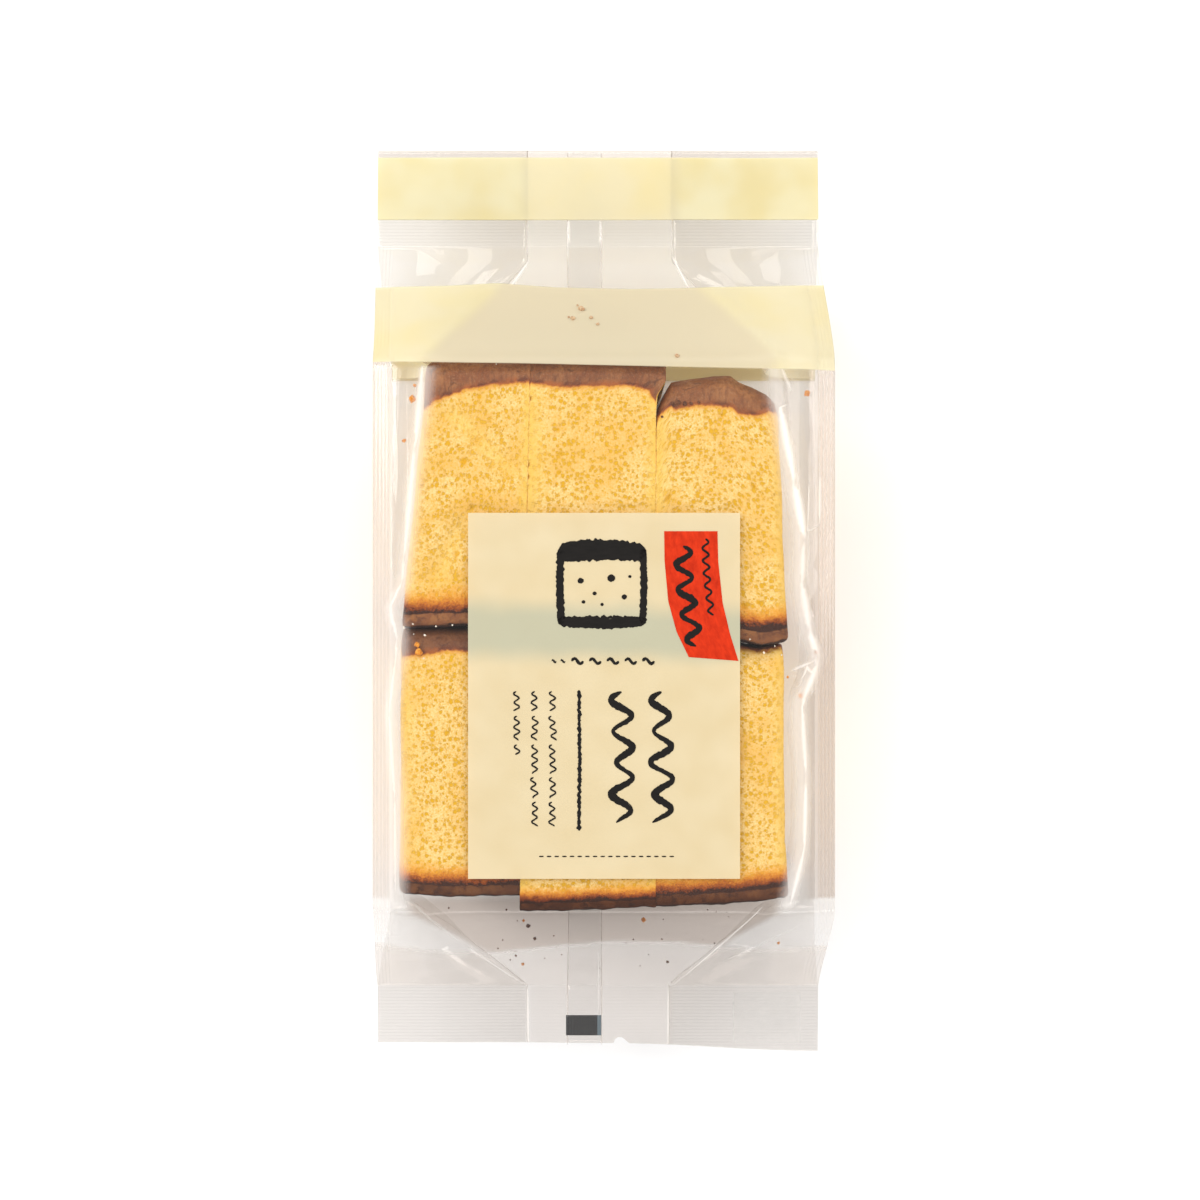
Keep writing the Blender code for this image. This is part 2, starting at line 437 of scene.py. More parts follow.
def boxSurface(linesX, linesY, linesZ):
    # the skin of a grid of cells: shares of width, height and depth, and its quads
    nx, ny, nz = len(linesX), len(linesY), len(linesZ)
    number = -np.ones((nx, ny, nz), dtype=int)
    grid = np.stack(np.meshgrid(np.arange(nx), np.arange(ny), np.arange(nz), indexing="ij"), axis=-1)
    skin = ((grid == 0) | (grid == np.array([nx, ny, nz]) - 1)).any(axis=-1)
    number[skin] = np.arange(skin.sum())
    cells = grid[skin]
    shares = np.stack([linesX[cells[:, 0]], linesY[cells[:, 1]], linesZ[cells[:, 2]]], axis=1)
    quads = []
    for sheet, flip in (
        (number[0], True), (number[-1], False),
        (number[:, 0], False), (number[:, -1], True),
        (number[:, :, 0], True), (number[:, :, -1], False),
    ):
        a, b, c, d = sheet[:-1, :-1], sheet[1:, :-1], sheet[1:, 1:], sheet[:-1, 1:]
        order = (a, d, c, b) if flip else (a, b, c, d)
        quads += np.stack([part.ravel() for part in order], axis=1).tolist()
    return shares, quads


def cloud(points, grain, seed, depth=2):
    # smooth noise from -1 to 1 for each point in millimetres
    shift = Vector((seed * 17.3, seed * -9.1, seed * 5.7))
    return np.array([noise.fractal(Vector(p) / grain + shift, 1.0, 2.0, depth) for p in points])


def dentDepth(x, y, dents):
    total = np.zeros_like(x)
    for (x0, y0), (x1, y1), width, depth in dents:
        dx, dy = x1 - x0, y1 - y0
        share = np.clip(((x - x0) * dx + (y - y0) * dy) / (dx * dx + dy * dy), 0, 1)
        away = np.hypot(x - x0 - share * dx, y - y0 - share * dy)
        total = np.maximum(total, depth * np.exp(-(away / width) ** 2))
    return total


def rollEnds(y, z):
    # rolls the top and bottom edges over into the depth, the top one with the crust on it
    tall, deep = sponge["tall"], sponge["deep"]
    fromTop, fromBottom, fromEnd = tall - y, y, np.minimum(z, deep - z)
    for distance, (down, inward), atTop in (
        (fromTop, sponge["topRound"], True),
        (fromBottom, sponge["bottomRound"], False),
    ):
        a = np.clip((down - distance) / down, 0, 1)
        b = np.clip((inward - fromEnd) / inward, 0, 1)
        both = (a > 0) & (b > 0)
        squeeze = np.where(both, np.maximum(a, b) / np.maximum(np.hypot(a, b), 1e-9), 1.0)
        sunk, drawn = down * (1 - a * squeeze), inward * (1 - b * squeeze)
        y = np.where(both, tall - sunk if atTop else sunk, y)
        z = np.where(both, np.where(z > deep / 2, deep - drawn, drawn), z)
    return y, z


def roundSides(x, y, z, radii):
    # rounds the cut edges at the two sides
    tall, deep = sponge["tall"], sponge["deep"]
    for distance, radius in zip((x, sponge["width"] - x), radii):
        near = np.clip(1 - distance / radius, 0, 1)
        inset = radius * (1 - np.sqrt(1 - near ** 2))
        y = tall / 2 + (y - tall / 2) * (1 - 0.35 * inset / (tall / 2))
        z = deep / 2 + (z - deep / 2) * (1 - inset / (deep / 2))
    return y, z


def crustDepth(u, z, fromTop, onSide, plan):
    # how far inside the top crust each point is: as planned on the faces, a thin rim on the sides
    down, inward = sponge["topRound"]
    end = np.minimum(z, sponge["deep"] - z)
    rim = down * (1 - np.sqrt(np.clip(1 - np.clip(1 - end / inward, 0, 1) ** 2, 0, 1)))
    onSides = sponge["crustThickness"] - (fromTop - rim)
    return np.where(onSide, onSides, along(u, plan["crust"]) - fromTop)


def unevenSlice(placed, u, z, crust, rise, fromTop, dent, plan, seed):
    # dents, soft waves, wrinkles in the crust's skin, and rippled edges, in place
    deep, front = sponge["deep"], z > sponge["deep"] / 2
    wave = cloud(placed, sponge["wavePitch"], seed)
    ripple = cloud(placed, sponge["ripplePitch"], seed + 3)
    placed[:, 2] -= dent * np.clip((z - deep * 0.5) / 20, 0, 1)
    placed[:, 2] -= sponge["waveHeight"] * (1 + wave) * (z > deep * 0.9)
    low, high = sponge["rippleHeight"]
    placed[:, 1] += low * ripple * (rise < 4) + high * ripple * (fromTop < 4)
    folded = cloud(placed * np.array([0.55, 1.0, 0.55]), sponge["wrinklePitch"], seed + 9, 3)
    placed[:, 2] -= plan["wrinkled"] * np.abs(folded) * np.clip(crust + 0.4, 0, 1) * front
    outer = ((u < 1e-6) | (u > 1 - 1e-6)) & (np.abs(placed[:, 0]) > sponge["outerSide"])
    placed[:, 0] += 0.25 * wave * outer * np.where(u < 0.5, 1, -1)


def buildSlice(name, plan, seed, material):
    size = np.array([sponge["width"], sponge["tall"], sponge["deep"]])
    wide, tall, deep = size
    shares, quads = boxSurface(*(spacedLines(length, *grid) for length, grid in zip(size, sponge["grid"])))
    u = shares[:, 0]
    x = u * wide
    y, z = rollEnds(shares[:, 1] * tall, shares[:, 2] * deep)
    y, z = roundSides(x, y, z, plan["round"])

    left, right = along(tall - y, plan["left"]), along(tall - y, plan["right"])
    top, bottom = along(u, plan["top"]), along(u, plan["bottom"])
    placedX, placedY = mix(left, right, u), mix(bottom, top, y / tall)
    fromTop, rise = top - placedY, placedY - bottom
    onSide = (u < 1e-6) | (u > 1 - 1e-6)
    crust = crustDepth(u, z, fromTop, onSide, plan)

    edge = np.minimum(x / sponge["edgePressed"][0], (wide - x) / sponge["edgePressed"][1])
    dent = dentDepth(placedX, placedY, plan["dents"]) * (z > deep / 2)
    pressed = np.where(onSide, sponge["sidePressed"], np.exp(-edge ** 2)) + sponge["dentPressed"] * dent

    placed = np.stack([placedX, placedY, z + sponge["floorGap"]], axis=1)
    unevenSlice(placed, u, z, crust, rise, fromTop, dent, plan, seed)
    rest = np.stack([x, y, z], axis=1)
    return meshObject(name, placed, quads, material, values={
        "rest": (rest + seed * np.array([41.0, 83.0, 67.0])) * mm,
        "bakedAndShaded": np.full_like(crust, plan["bakedAndShaded"]),
        "crust": crust,
        "rise": rise / plan["browned"],
        "pressed": np.clip(pressed, 0, 1),
    })


def poreTree():
    # sinks the larger bubbles into the cut faces, along the normals
    tree, sizes = nodesTree("sponge pores", {
        "Pore spacing": ("NodeSocketFloat", 0.004),
        "Pore depth": ("NodeSocketFloat", 0.0005),
        "Material": ("NodeSocketMaterial", None),
    })
    given = sizes.outputs
    add = partial(addNode, tree)
    rest = add("GeometryNodeInputNamedAttribute", ["rest"], data_type="FLOAT_VECTOR")
    crust = add("GeometryNodeInputNamedAttribute", ["crust"], data_type="FLOAT")
    scale = add(mathNode, (1.0, given["Pore spacing"]), operation="DIVIDE")
    away = add("ShaderNodeTexVoronoi", {"Vector": rest, "Scale": scale}, "Distance")
    chance = add("ShaderNodeSeparateXYZ", [away.node.outputs["Color"]])
    rare = add(mathNode, (chance, 3.0), operation="POWER")
    size = add(mathNode, (rare, 0.2, 0.06), operation="MULTIPLY_ADD")
    share = add(mathNode, (away, size), operation="DIVIDE")
    pit = add(rangeNode, (share, 1.3, 0.6), **smoothStep)
    onCrumb = add(rangeNode, (crust, 0.5, -0.5), **smoothStep)
    sunk = add(mathNode, (pit, onCrumb), operation="MULTIPLY")
    depth = add(mathNode, (sunk, given["Pore depth"]), operation="MULTIPLY")
    inward = add(mathNode, (depth, -1.0), operation="MULTIPLY")
    normal = add("GeometryNodeInputNormal")
    move = add(vectorNode, {0: normal, "Scale": inward}, operation="SCALE")
    shifted = add("GeometryNodeSetPosition", {"Geometry": given["Geometry"], "Offset": move})
    closeTree(tree, shifted, given["Material"])
    return tree


def bubbleMask(tree, where, spacing, smallest, spread, power):
    # 1 inside round bubbles about this many millimetres apart, few of them large
    links = {"Vector": where, "Scale": 1 / (spacing * mm)}
    away = addNode(tree, "ShaderNodeTexVoronoi", links, "Distance")
    chance = addNode(tree, "ShaderNodeSeparateXYZ", [away.node.outputs["Color"]])
    rare = addNode(tree, mathNode, (chance, power), operation="POWER")
    size = addNode(tree, mathNode, (rare, spread, smallest), operation="MULTIPLY_ADD")
    share = addNode(tree, mathNode, (away, size), operation="DIVIDE")
    return addNode(tree, rangeNode, (share, 1.2, 0.6), **smoothStep)


def layered(tree, base, coats):
    # lays colours one over the other: each coat is (mask, colour)
    for mask, colour in coats:
        base = addNode(tree, mixNode, {0: mask, 6: base, 7: colour}, 2, data_type="RGBA")
    return base


def spongeGrains(tree, rest):
    # the noises that the sponge's colours share: size in millimetres, detail, roughness
    # the skin's streaks run up and down the slice
    places = {"streaks": addNode(tree, vectorNode, (rest, (1.0, 0.22, 1.0)), operation="MULTIPLY")}
    grains = {}
    for name, size, detail, roughness in (
        ("threads", 0.45, 2.0, 0.7), ("clouds", 9.0, 1.0, 0.55), ("ragged", 2.2, 3.0, 0.7),
        ("broad", 12.0, 1.0, 0.5), ("wander", 1.6, 3.0, 0.65), ("blotches", 7.0, 2.0, 0.6),
        ("streaks", 0.8, 3.0, 0.7), ("crease", 1.3, 3.0, 0.7), ("patches", 4.0, 2.0, 0.6),
    ):
        grains[name] = addNode(tree, noiseNode, {
            "Vector": places.get(name, rest), "Scale": 1 / (size * mm),
            "Detail": detail, "Roughness": roughness,
        })
    return grains


def crumbColour(tree, rest, grains, pressed):
    # pale crumb with amber bubbles, their colour painted shade in the hollows, fewer and smoother where it
    # is pressed; and the middling bubbles
    add = partial(addNode, tree)
    # the bubbles are bent by a fine noise first, so that they are as uneven as real ones
    threads = grains["threads"].node.outputs["Color"]
    wiggle = add(vectorNode, (threads, (0.5, 0.5, 0.5)), operation="SUBTRACT")
    bentRest = add(vectorNode, (wiggle, Vector((0.7, 0.9, 0.7)) * mm, rest), operation="MULTIPLY_ADD")
    tiny = bubbleMask(tree, bentRest, sponge["tinyPore"], 0.24, 0.28, 1.0)
    small = bubbleMask(tree, bentRest, sponge["pore"], 0.2, 0.38, 1.1)
    large = bubbleMask(tree, rest, sponge["largePore"], 0.05, 0.24, 4.0)
    faint = add(mathNode, (tiny, 0.7), operation="MULTIPLY")
    bubbles = add(mathNode, (small, large), operation="MAXIMUM")
    pores = add(mathNode, (bubbles, faint), operation="MAXIMUM")
    shut = add(mathNode, (pressed, -0.5, 1.0), operation="MULTIPLY_ADD")
    poreShare = add(mathNode, (pores, shut), operation="MULTIPLY")

    cloudy = add(rangeNode, (grains["clouds"], 0.35, 0.75), **smoothStep)
    # painted shade: the bubbles' hollows are coloured a deeper amber than the crumb around them
    shadedAmber = layered(tree, srgb("#d8a008"), [(grains["clouds"], srgb("#e4b01e"))])
    return small, layered(tree, srgb("#ecbd62"), [
        (add(rangeNode, (grains["threads"], 0.36, 0.64)), srgb("#f5d896")),
        (add(mathNode, (cloudy, 0.6), operation="MULTIPLY"), srgb("#e8af48")),
        (poreShare, shadedAmber),
        (add(mathNode, (pressed, 0.7), operation="MULTIPLY"), srgb("#f2c656")),
    ])


def brownedCrumb(tree, crumb, grains, rise, bakedAndShaded):
    # the browning that climbs unevenly from the bottom crust, and the crust's own skin below it
    add = partial(addNode, tree)
    rough, swell, grainy = (
        add(mathNode, (grains[name], height, -height / 2), operation="MULTIPLY_ADD")
        for name, height in (("ragged", 3.2), ("broad", 3.0), ("threads", 2.6))
    )
    coarse = add(mathNode, (rough, swell), operation="ADD")
    uneven = add(mathNode, (coarse, grainy), operation="ADD")
    height = add(mathNode, (rise, uneven), operation="ADD")
    lipEdge = add(mathNode, (rough, 0.3), operation="MULTIPLY")
    lip = add(mathNode, (rise, lipEdge), operation="ADD")
    spots = add(rangeNode, (grains["ragged"], 0.5, 0.64), **smoothStep)
    worn = add(rangeNode, (grains["patches"], 0.46, 0.62), **smoothStep)
    burnt, toasted, underside = (
        layered(tree, srgb(plain), [(worn, srgb(pale)), (spots, srgb(deep))])
        for plain, pale, deep in (
            ("#331405", "#4f2711", "#250d05"), ("#8c5836", "#9c683e", "#70452e"),
            ("#311a11", "#472818", "#26110a"),
        )
    )
    lowSkin = layered(tree, toasted, [(bakedAndShaded, burnt)])
    return layered(tree, crumb, [
        (add(rangeNode, (value, start, full), **smoothStep), colour)
        for value, start, full, colour in (
            (height, 11.0, 6.4, srgb("#e59c2c")), (height, 8.2, 5.4, srgb("#c26c22")),
            (height, 6.6, 4.7, srgb("#853f16")), (height, 5.0, 4.1, srgb("#3d2015")),
            (lip, 3.5, 3.2, lowSkin), (lip, 0.8, 0.3, underside),
        )
    ])


def crustSkin(tree, grains, bakedAndShaded):
    # the top crust's matt brown skin, blotched, streaked and a little cracked; darker on the more baked
    # slices, partly their browning and partly painted shade
    add = partial(addNode, tree)
    skin = layered(tree, srgb("#8a5230"), [
        (add(rangeNode, (grains["blotches"], 0.35, 0.68)), srgb("#a97246")),
        (add(rangeNode, {0: grains["streaks"], 1: 0.42, 2: 0.7, 4: 0.8}), srgb("#6c412a")),
        (add(rangeNode, {0: grains["threads"], 1: 0.55, 2: 0.8, 4: 0.5}), srgb("#c09870")),
    ])
    # a few thin cracks where the skin has dried, along the middle level of a slow noise
    level = add(mathNode, (grains["blotches"], 0.5), operation="SUBTRACT")
    off = add(mathNode, [level], operation="ABSOLUTE")
    crack = add(rangeNode, (off, 0.03, 0.004), **smoothStep)
    seen = add(rangeNode, {0: grains["patches"], 1: 0.5, 2: 0.66, 4: 0.55}, **smoothStep)
    cracks = add(mathNode, (crack, seen), operation="MULTIPLY")
    # partly painted shade: the top crust is darker on the more baked slices, most on the lower row
    darker = add(rangeNode, {0: bakedAndShaded, 1: 0.15, 2: 0.75, 4: 0.55})
    return layered(tree, skin, [(darker, srgb("#5a3424")), (cracks, srgb("#4a2c20"))])


def spongeMaterial():
    # baked egg sponge: pale matt crumb with amber bubbles painted as shade in their hollows, browned to a
    # dark skin at both ends
    made, tree = newMaterial("castella sponge crumb and crust")
    add = partial(addNode, tree)
    rest = add(attributeNode, out="Vector", attribute_name="rest")
    crust, rise, pressed, bakedAndShaded = (
        add(attributeNode, out="Fac", attribute_name=name) for name in ("crust", "rise", "pressed", "bakedAndShaded")
    )
    grains = spongeGrains(tree, rest)
    small, crumb = crumbColour(tree, rest, grains, pressed)
    crumb = brownedCrumb(tree, crumb, grains, rise, bakedAndShaded)

    # the top crust's torn lower edge is orange, then dark in places
    drift = add(mathNode, (grains["wander"], 1.6, -0.8), operation="MULTIPLY_ADD")
    depth = add(mathNode, (crust, drift), operation="ADD")
    scorched = add(rangeNode, (depth, -0.05, 0.4), **smoothStep)
    inPlaces = add(rangeNode, {0: grains["patches"], 1: 0.38, 2: 0.6, 3: 0.15, 4: 0.9})
    final = layered(tree, crumb, [
        (add(rangeNode, (depth, -1.3, -0.1), **smoothStep), srgb("#dd9a3c")),
        (add(rangeNode, (depth, -0.4, 0.1), **smoothStep), srgb("#a9602f")),
        (add(mathNode, (scorched, inPlaces), operation="MULTIPLY"), srgb("#5f3222")),
        (add(rangeNode, (depth, 0.3, 1.7), **smoothStep), crustSkin(tree, grains, bakedAndShaded)),
    ])

    # the relief is kept to two patterns, because a bump reads them three times over
    onCrust = add(rangeNode, (crust, -0.2, 0.5))
    sunk = add(mathNode, (small, -1.0), operation="MULTIPLY")
    onLip = add(rangeNode, (rise, 3.7, 3.1))
    onSkin = add(mathNode, (onCrust, onLip), operation="MAXIMUM")
    relief = add(mixNode, {0: onSkin, 2: sunk, 3: grains["crease"]}, data_type="FLOAT")
    bump = add("ShaderNodeBump", {"Height": relief, "Strength": 0.55, "Distance": 0.35 * mm})
    dullness = add(rangeNode, {0: onCrust, 3: 0.85, 4: 0.6})
    shader = add(principledNode, {
        "Base Color": final, "Roughness": dullness, "Normal": bump, "Specular IOR Level": 0.3,
    })
    add("ShaderNodeOutputMaterial", [shader])
    return made


def buildSlices():
    material = spongeMaterial()
    tree = poreTree()
    for seed, (name, plan) in enumerate(slices.items(), start=1):
        made = buildSlice(name, plan, seed, material)
        growWith(made, tree, {
            "Pore spacing": sponge["largePore"] * mm,
            "Pore depth": sponge["largePoreDepth"] * mm,
            "Material": material,
        })
        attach(made, "root")
    print("six sponge slices made")


buildSlices()


film = {
    # rings of points: lower seal, lower slope, level, upper slope, ribs of the upper seal, and its rest
    "rows": (62, 34, 62, 46, 34, 22),
    "ribShare": 0.28,         # how much of the upper seal has ribs
    "frontPoints": 84,
    "finPoints": (26, 8),     # on the front, and on each layer of the gusset
    "gussetPoints": 24,
    "backPoints": 60,
    "nickPoints": (0.3, 0.6, 0.85, 0.98, 1.03),
    "layerGap": 0.3,          # between the four layers where they are sealed
    "upperFold": 1.14,        # at the upper end the gussets are fully folded in a little before the seal
    "upperRightLess": 0.8,    # and the right one folds in this much less
    "ribPitch": 0.85,
    "ribHeight": 0.009,
    "edgeRibPitch": 0.92,     # coarser than the real 0.6, so that the ribs show
    "edgeRibHeight": 0.032,
    "upperRibsEnd": 99.2,
    "ribShine": 0.1,          # painted highlight along the pressed ribs' crests at the edges
    "sealRibShine": 0.02,     # and at the seals
    # where the lower cream band starts and ends on each panel; on the front by place across
    "bandFrontLow": [(-58, 59.5), (-20, 59.0), (20, 58.1), (58, 57.3)],
    "bandFrontHigh": [(-58, 80.3), (-40, 80.6), (-26, 81.4), (-12, 80.3), (8, 79.7), (30, 80.2),
                      (58, 81.0)],
    "bandGusset": (60.4, 79.8),
    "bandBack": (59.9, 82.2),
    "topBand": (99.6, 115.9),
    "mirror": 0.035,          # share of light that the film mirrors seen square on
    "grazing": 0.1,           # and how much more it mirrors seen edge on
    "tint": "#faf9f8",
    "greyAndShade": "#d3c5ba",       # painted shade: the greyer look of the film over the shaded lower end; also its grey at the ears and upper edge
    "earMilk": (0.2, 0.04),   # milkiness of the left and right ears, where four films lie close
    "earGrey": (0.26, 0.5),  # and how much greyer they are
    "earFrom": 50.0,
    "earReach": (-84, 76),
    # painted shade on the lower slope: between the gussets, over them, below the sheen's edge
    "lowerShade": (0.8, 0.04, 0.36),
    "sealShade": (0.3, 0.14),  # and painted shade on the lower seal: between the gussets, over them
    "topEdgeGrey": 0.4,
    "finGrey": 0.35,         # what their pressed edges add to that
    "wallSheen": 0.07,         # painted sheen on the gussets where they stand along the slices
    "bendSheen": 0.4,          # and a painted highlight on the front film where it bends over them
    "foldHalfWidth": 0.45,
    "foldShine": 0.7,         # how strongly the gussets' inner folds catch the light
    "sheenVeil": 0.12,             # painted sheen: how much paler the slope is below this edge, which lies near the back panel
    "sheenEdge": [(-60, -86.0), (-40, -88.5), (-26, -88.8), (-10, -86.6), (4, -85.2), (19, -85.6),
                 (40, -88.0), (60, -87.0)],
    # the white of the film's haze: milky in places, painted sheen and highlights in others
    "milkAndSheen": "#fffaf5",
    "coatsBlur": 7.0,
    "coatsMost": 0.7,
    "ink": "#f4eecc",
    "inkDeep": "#f0e5b3",     # where the ink lies thicker, in slow drifts of this size
    "inkDrift": 18,
    # the one-coat ink, darker as painted shade of the hollow behind the band
    "inkOneCoatShaded": "#e3d8b9",
    "inkGlimpse": "#f7e9c0",
    "inkThinness": (0.06, 0.4),  # how much shows through the print: on the front and sides, on the back
}

panels = {"front": 0, "gusset": 1, "back": 2}
farOff = 99.0                 # a distance to a fold that is too far to matter

# where the gussets stand beside the slices, by place along the bag
wallLeft = [
    (-84, -47.5), (-74, -51.2), (-49, -51.2), (-27.5, -52.7), (-14, -50.9), (-9, -50.7), (-2, -52.5),
    (4.5, -49.8), (17, -48.5), (30, -47.3), (50, -44.9), (59, -44.1), (62, -44.4),
]
wallRight = [
    (-86, 44.0), (-74, 47.6), (-67, 49.3), (-62, 50.5), (-44, 51.0), (-34, 50.1), (-25, 49.8), (-19, 53.0),
    (-13.5, 54.0), (-7, 51.7), (4, 49.8), (14, 50.3), (18, 50.0), (30.5, 47.8), (48, 44.8), (60, 43.6),
]


def crumple(x, y, spacing, seed, stretch=(1.0, 1.0)):
    # heights from -1 to 1 of a film crushed into flat facets with straight creases
    rng = np.random.default_rng(seed)
    wide, long = 70.0, 125.0
    stepX, stepY = spacing * stretch[0], spacing * stretch[1]
    gx, gy = np.meshgrid(np.arange(-wide, wide + stepX, stepX), np.arange(-long, long + stepY, stepY))
    px = gx.ravel() + rng.uniform(-0.42, 0.42, gx.size) * stepX
    py = gy.ravel() + rng.uniform(-0.42, 0.42, gy.size) * stepY
    heights = rng.uniform(-1, 1, gx.size)
    found = delaunay_2d_cdt([Vector((a, b)) for a, b in zip(px, py)], [], [], 0, 1e-5)
    corners = [Vector((a, b, h)) for (a, b), h in zip(found[0], heights)]
    sheet = BVHTree.FromPolygons(corners, [list(face) for face in found[2]])
    down = Vector((0, 0, -1))
    hits = [sheet.ray_cast(Vector((a, b, 5)), down)[0] for a, b in zip(x, y)]
    return np.array([hit.z if hit else 0.0 for hit in hits])


# Creases that stand up over the ends: from, to, half width, height
creases = [
    ((-45.0, -76.0), (-19.5, -100.0), 1.5, 1.0),
    ((43.0, -76.5), (18.5, -100.0), 1.5, 1.1),
    ((46.0, -79.0), (24.0, -98.0), 0.8, 0.4),
    ((-45.0, 60.0), (-20.0, 91.0), 1.8, 0.9),
    ((45.0, 60.0), (20.5, 91.0), 1.8, 0.9),
    ((38.0, 88.0), (55.0, 90.0), 0.9, 0.4),
    ((-20.0, -88.0), (18.0, -86.0), 1.4, 0.5),
    ((30.0, -92.5), (50.0, -81.0), 0.9, 0.5),
    ((-52.0, -84.0), (-34.0, -92.0), 1.0, 0.5),
]


def alongLine(x, y, start, end):
    # how far points are along a line and to its side, and the line's length
    dx, dy = end[0] - start[0], end[1] - start[1]
    length = math.hypot(dx, dy)
    run = ((x - start[0]) * dx + (y - start[1]) * dy) / length
    side = ((x - start[0]) * dy - (y - start[1]) * dx) / length
    return run, side, length


def onFin(x, y):
    # 1 on the pressed edges of the bag
    return np.clip((np.abs(x - leanAt(y)) - (pack["width"] / 2 - pack["fin"])) / 0.6, 0, 1)


def facets(x, y):
    # the coarse and the fine facets of the crushed film
    return crumple(x, y, 10.0, 5, (1.0, 1.3)), crumple(x, y, 4.6, 11)


def creaseHeight(x, y):
    total = np.zeros_like(x)
    for start, end, width, height in creases:
        run, side, length = alongLine(x, y, start, end)
        fade = ease(run / 4 + 0.5) * ease((length - run) / 4 + 0.5)
        total += height * np.exp(-np.abs(side) / width) * fade
    return total


def frontLift(x, y):
    # how far the crushed front stands up over its smooth shape; it never sinks into what is below
    coarse, fine = facets(x, y)
    waves = np.array([noise.noise(Vector((a / 22, b / 30, 0.5))) for a, b in zip(x, y)])
    relief = np.maximum(coarse + 0.3 * fine + 0.8 * waves + 1.2, 0)
    slope = np.clip(np.sin(towardsSeal(y) * math.pi), 0, 1)
    outer = ease((np.abs(x) - 46.5) / 3)
    middle = np.where((y < 56) & (y > -74), 0.03, 0.5 * slope + 0.05)
    amount = mix(middle, 0.28 + 0.1 * slope, outer)
    toSeal = np.minimum(pack["topSeal"] - y, y - pack["bottomSeal"])
    return (amount * relief + creaseHeight(x, y)) * ease(toSeal / 5) * (1 - onFin(x, y))


# Folds that catch the light on the front panel: from, to, strength, half width
foldLines = [
    ((-46.5, -74.8), (-35.5, -86.0), 0.22, 1.0), ((-34.0, -87.5), (-19.4, -100.6), 0.5, 0.5),
    ((40.2, -75.6), (18.6, -100.6), 0.62, 0.42), ((50.0, -81.0), (31.0, -92.5), 0.22, 0.35),
    ((-23.6, 79.6), (-18.5, 88.2), 0.85, 0.75), ((22.6, 79.5), (18.5, 89.6), 0.9, 0.62),
    ((-8.6, 88.2), (-8.6, 99.4), 0.75, 0.22), ((0.1, 80.5), (0.1, 99.4), 0.3, 0.22),
    ((-19.1, 89.0), (-19.1, 99.4), 0.35, 0.4), ((18.5, 90.0), (18.5, 99.4), 0.45, 0.4),
    ((-19.1, -100.0), (-19.0, -117.0), 0.85, 0.5), ((17.6, -99.5), (17.6, -118.0), 0.8, 0.42),
    ((-8.8, -101.5), (-8.8, -109.0), 0.4, 0.2), ((-0.6, -89.0), (-0.6, -109.0), 0.5, 0.2),
    ((44.4, 49.0), (47.9, 30.0), 0.6, 1.5), ((47.8, 30.6), (50.4, 15.5), 0.6, 1.7),
    ((50.3, 14.5), (49.8, 4.0), 0.4, 1.1), ((49.9, 4.5), (51.8, -8.0), 0.5, 1.5),
    ((51.5, -6.8), (54.0, -13.8), 0.6, 1.5), ((54.0, -15.0), (49.9, -25.2), 0.5, 1.2),
    ((52.6, -14.7), (47.2, -17.6), 0.5, 0.8), ((49.9, -25.1), (50.9, -44.0), 0.5, 0.8),
    ((50.9, -43.5), (50.4, -62.5), 0.5, 0.8), ((50.4, -62.0), (47.1, -74.8), 0.45, 0.9),
    ((54.4, 31.4), (54.3, 18.9), 0.6, 0.7), ((44.8, 58.0), (47.4, 51.5), 0.35, 0.8),
    ((-44.2, 58.5), (-46.1, 38.5), 0.45, 1.2), ((-46.1, 39.5), (-48.7, 11.5), 0.45, 1.0),
    ((-48.8, 12.0), (-49.3, 4.5), 0.3, 0.6), ((-49.4, 4.8), (-52.4, -1.9), 0.45, 0.6),
    ((-52.4, -1.9), (-50.6, -9.0), 0.5, 0.7), ((-50.6, -9.0), (-50.9, -14.5), 0.45, 0.5),
    ((-50.9, -14.5), (-52.6, -27.5), 0.3, 0.5), ((-52.6, -27.5), (-51.1, -50.0), 0.3, 0.6),
    ((-51.1, -49.0), (-51.0, -72.0), 0.35, 0.5),
]


def foldAt(x, y):
    # signed distance to the nearest fold line, in its half widths, and how strongly it shows there
    nearest, close = np.full_like(x, farOff), np.full_like(x, farOff)
    shown = np.zeros_like(x)
    for start, end, strength, halfWidth in foldLines:
        run, side, length = alongLine(x, y, start, end)
        # each one thins out towards its ends
        fade = ease((run + 1.0) / 3) * ease((length - run + 1.0) / 3)
        taper = halfWidth * mix(0.35, 1.0, np.sin(math.pi * np.clip(run / length, 0, 1)))
        take = (np.abs(side) < np.abs(close)) & (fade > 0.01)
        close = np.where(take, side, close)
        nearest = np.where(take, side / taper, nearest)
        shown = np.where(take, strength * fade, shown)
    return nearest, np.where(np.abs(close) < 2.8, shown, 0.0)


def filmRows():
    # (zone, place) for each ring: -1 and 1 are the seals, with shares out from the bag
    sealed, lower, level, upper, ribbed, plain = film["rows"]
    turns = (pack["bottomSeal"], pack["foodBottom"] + 6, pack["foodTop"] - 6, pack["topSeal"])
    rows = [(-1, share) for share in np.linspace(1, 0, sealed)]
    for start, end, count in zip(turns, turns[1:], (lower, level, upper)):
        rows += [(0, y) for y in np.linspace(start, end, count)[1:]]
    for start, end, count in ((0, film["ribShare"], ribbed), (film["ribShare"], 1, plain)):
        rows += [(1, share) for share in np.linspace(start, end, count)[1:]]
    return rows


def ringHeight(zone, value):
    # where a ring starts along the bag
    return {-1: pack["bottomSeal"], 1: pack["topSeal"]}.get(zone, value)


def rowPlace(zone, value, x):
    if zone < 0:
        return mix(pack["bottomSeal"], bottomEdge(x), value)
    if zone > 0:
        return np.full_like(x, mix(pack["topSeal"], pack["length"] / 2, value))
    return np.full_like(x, value)


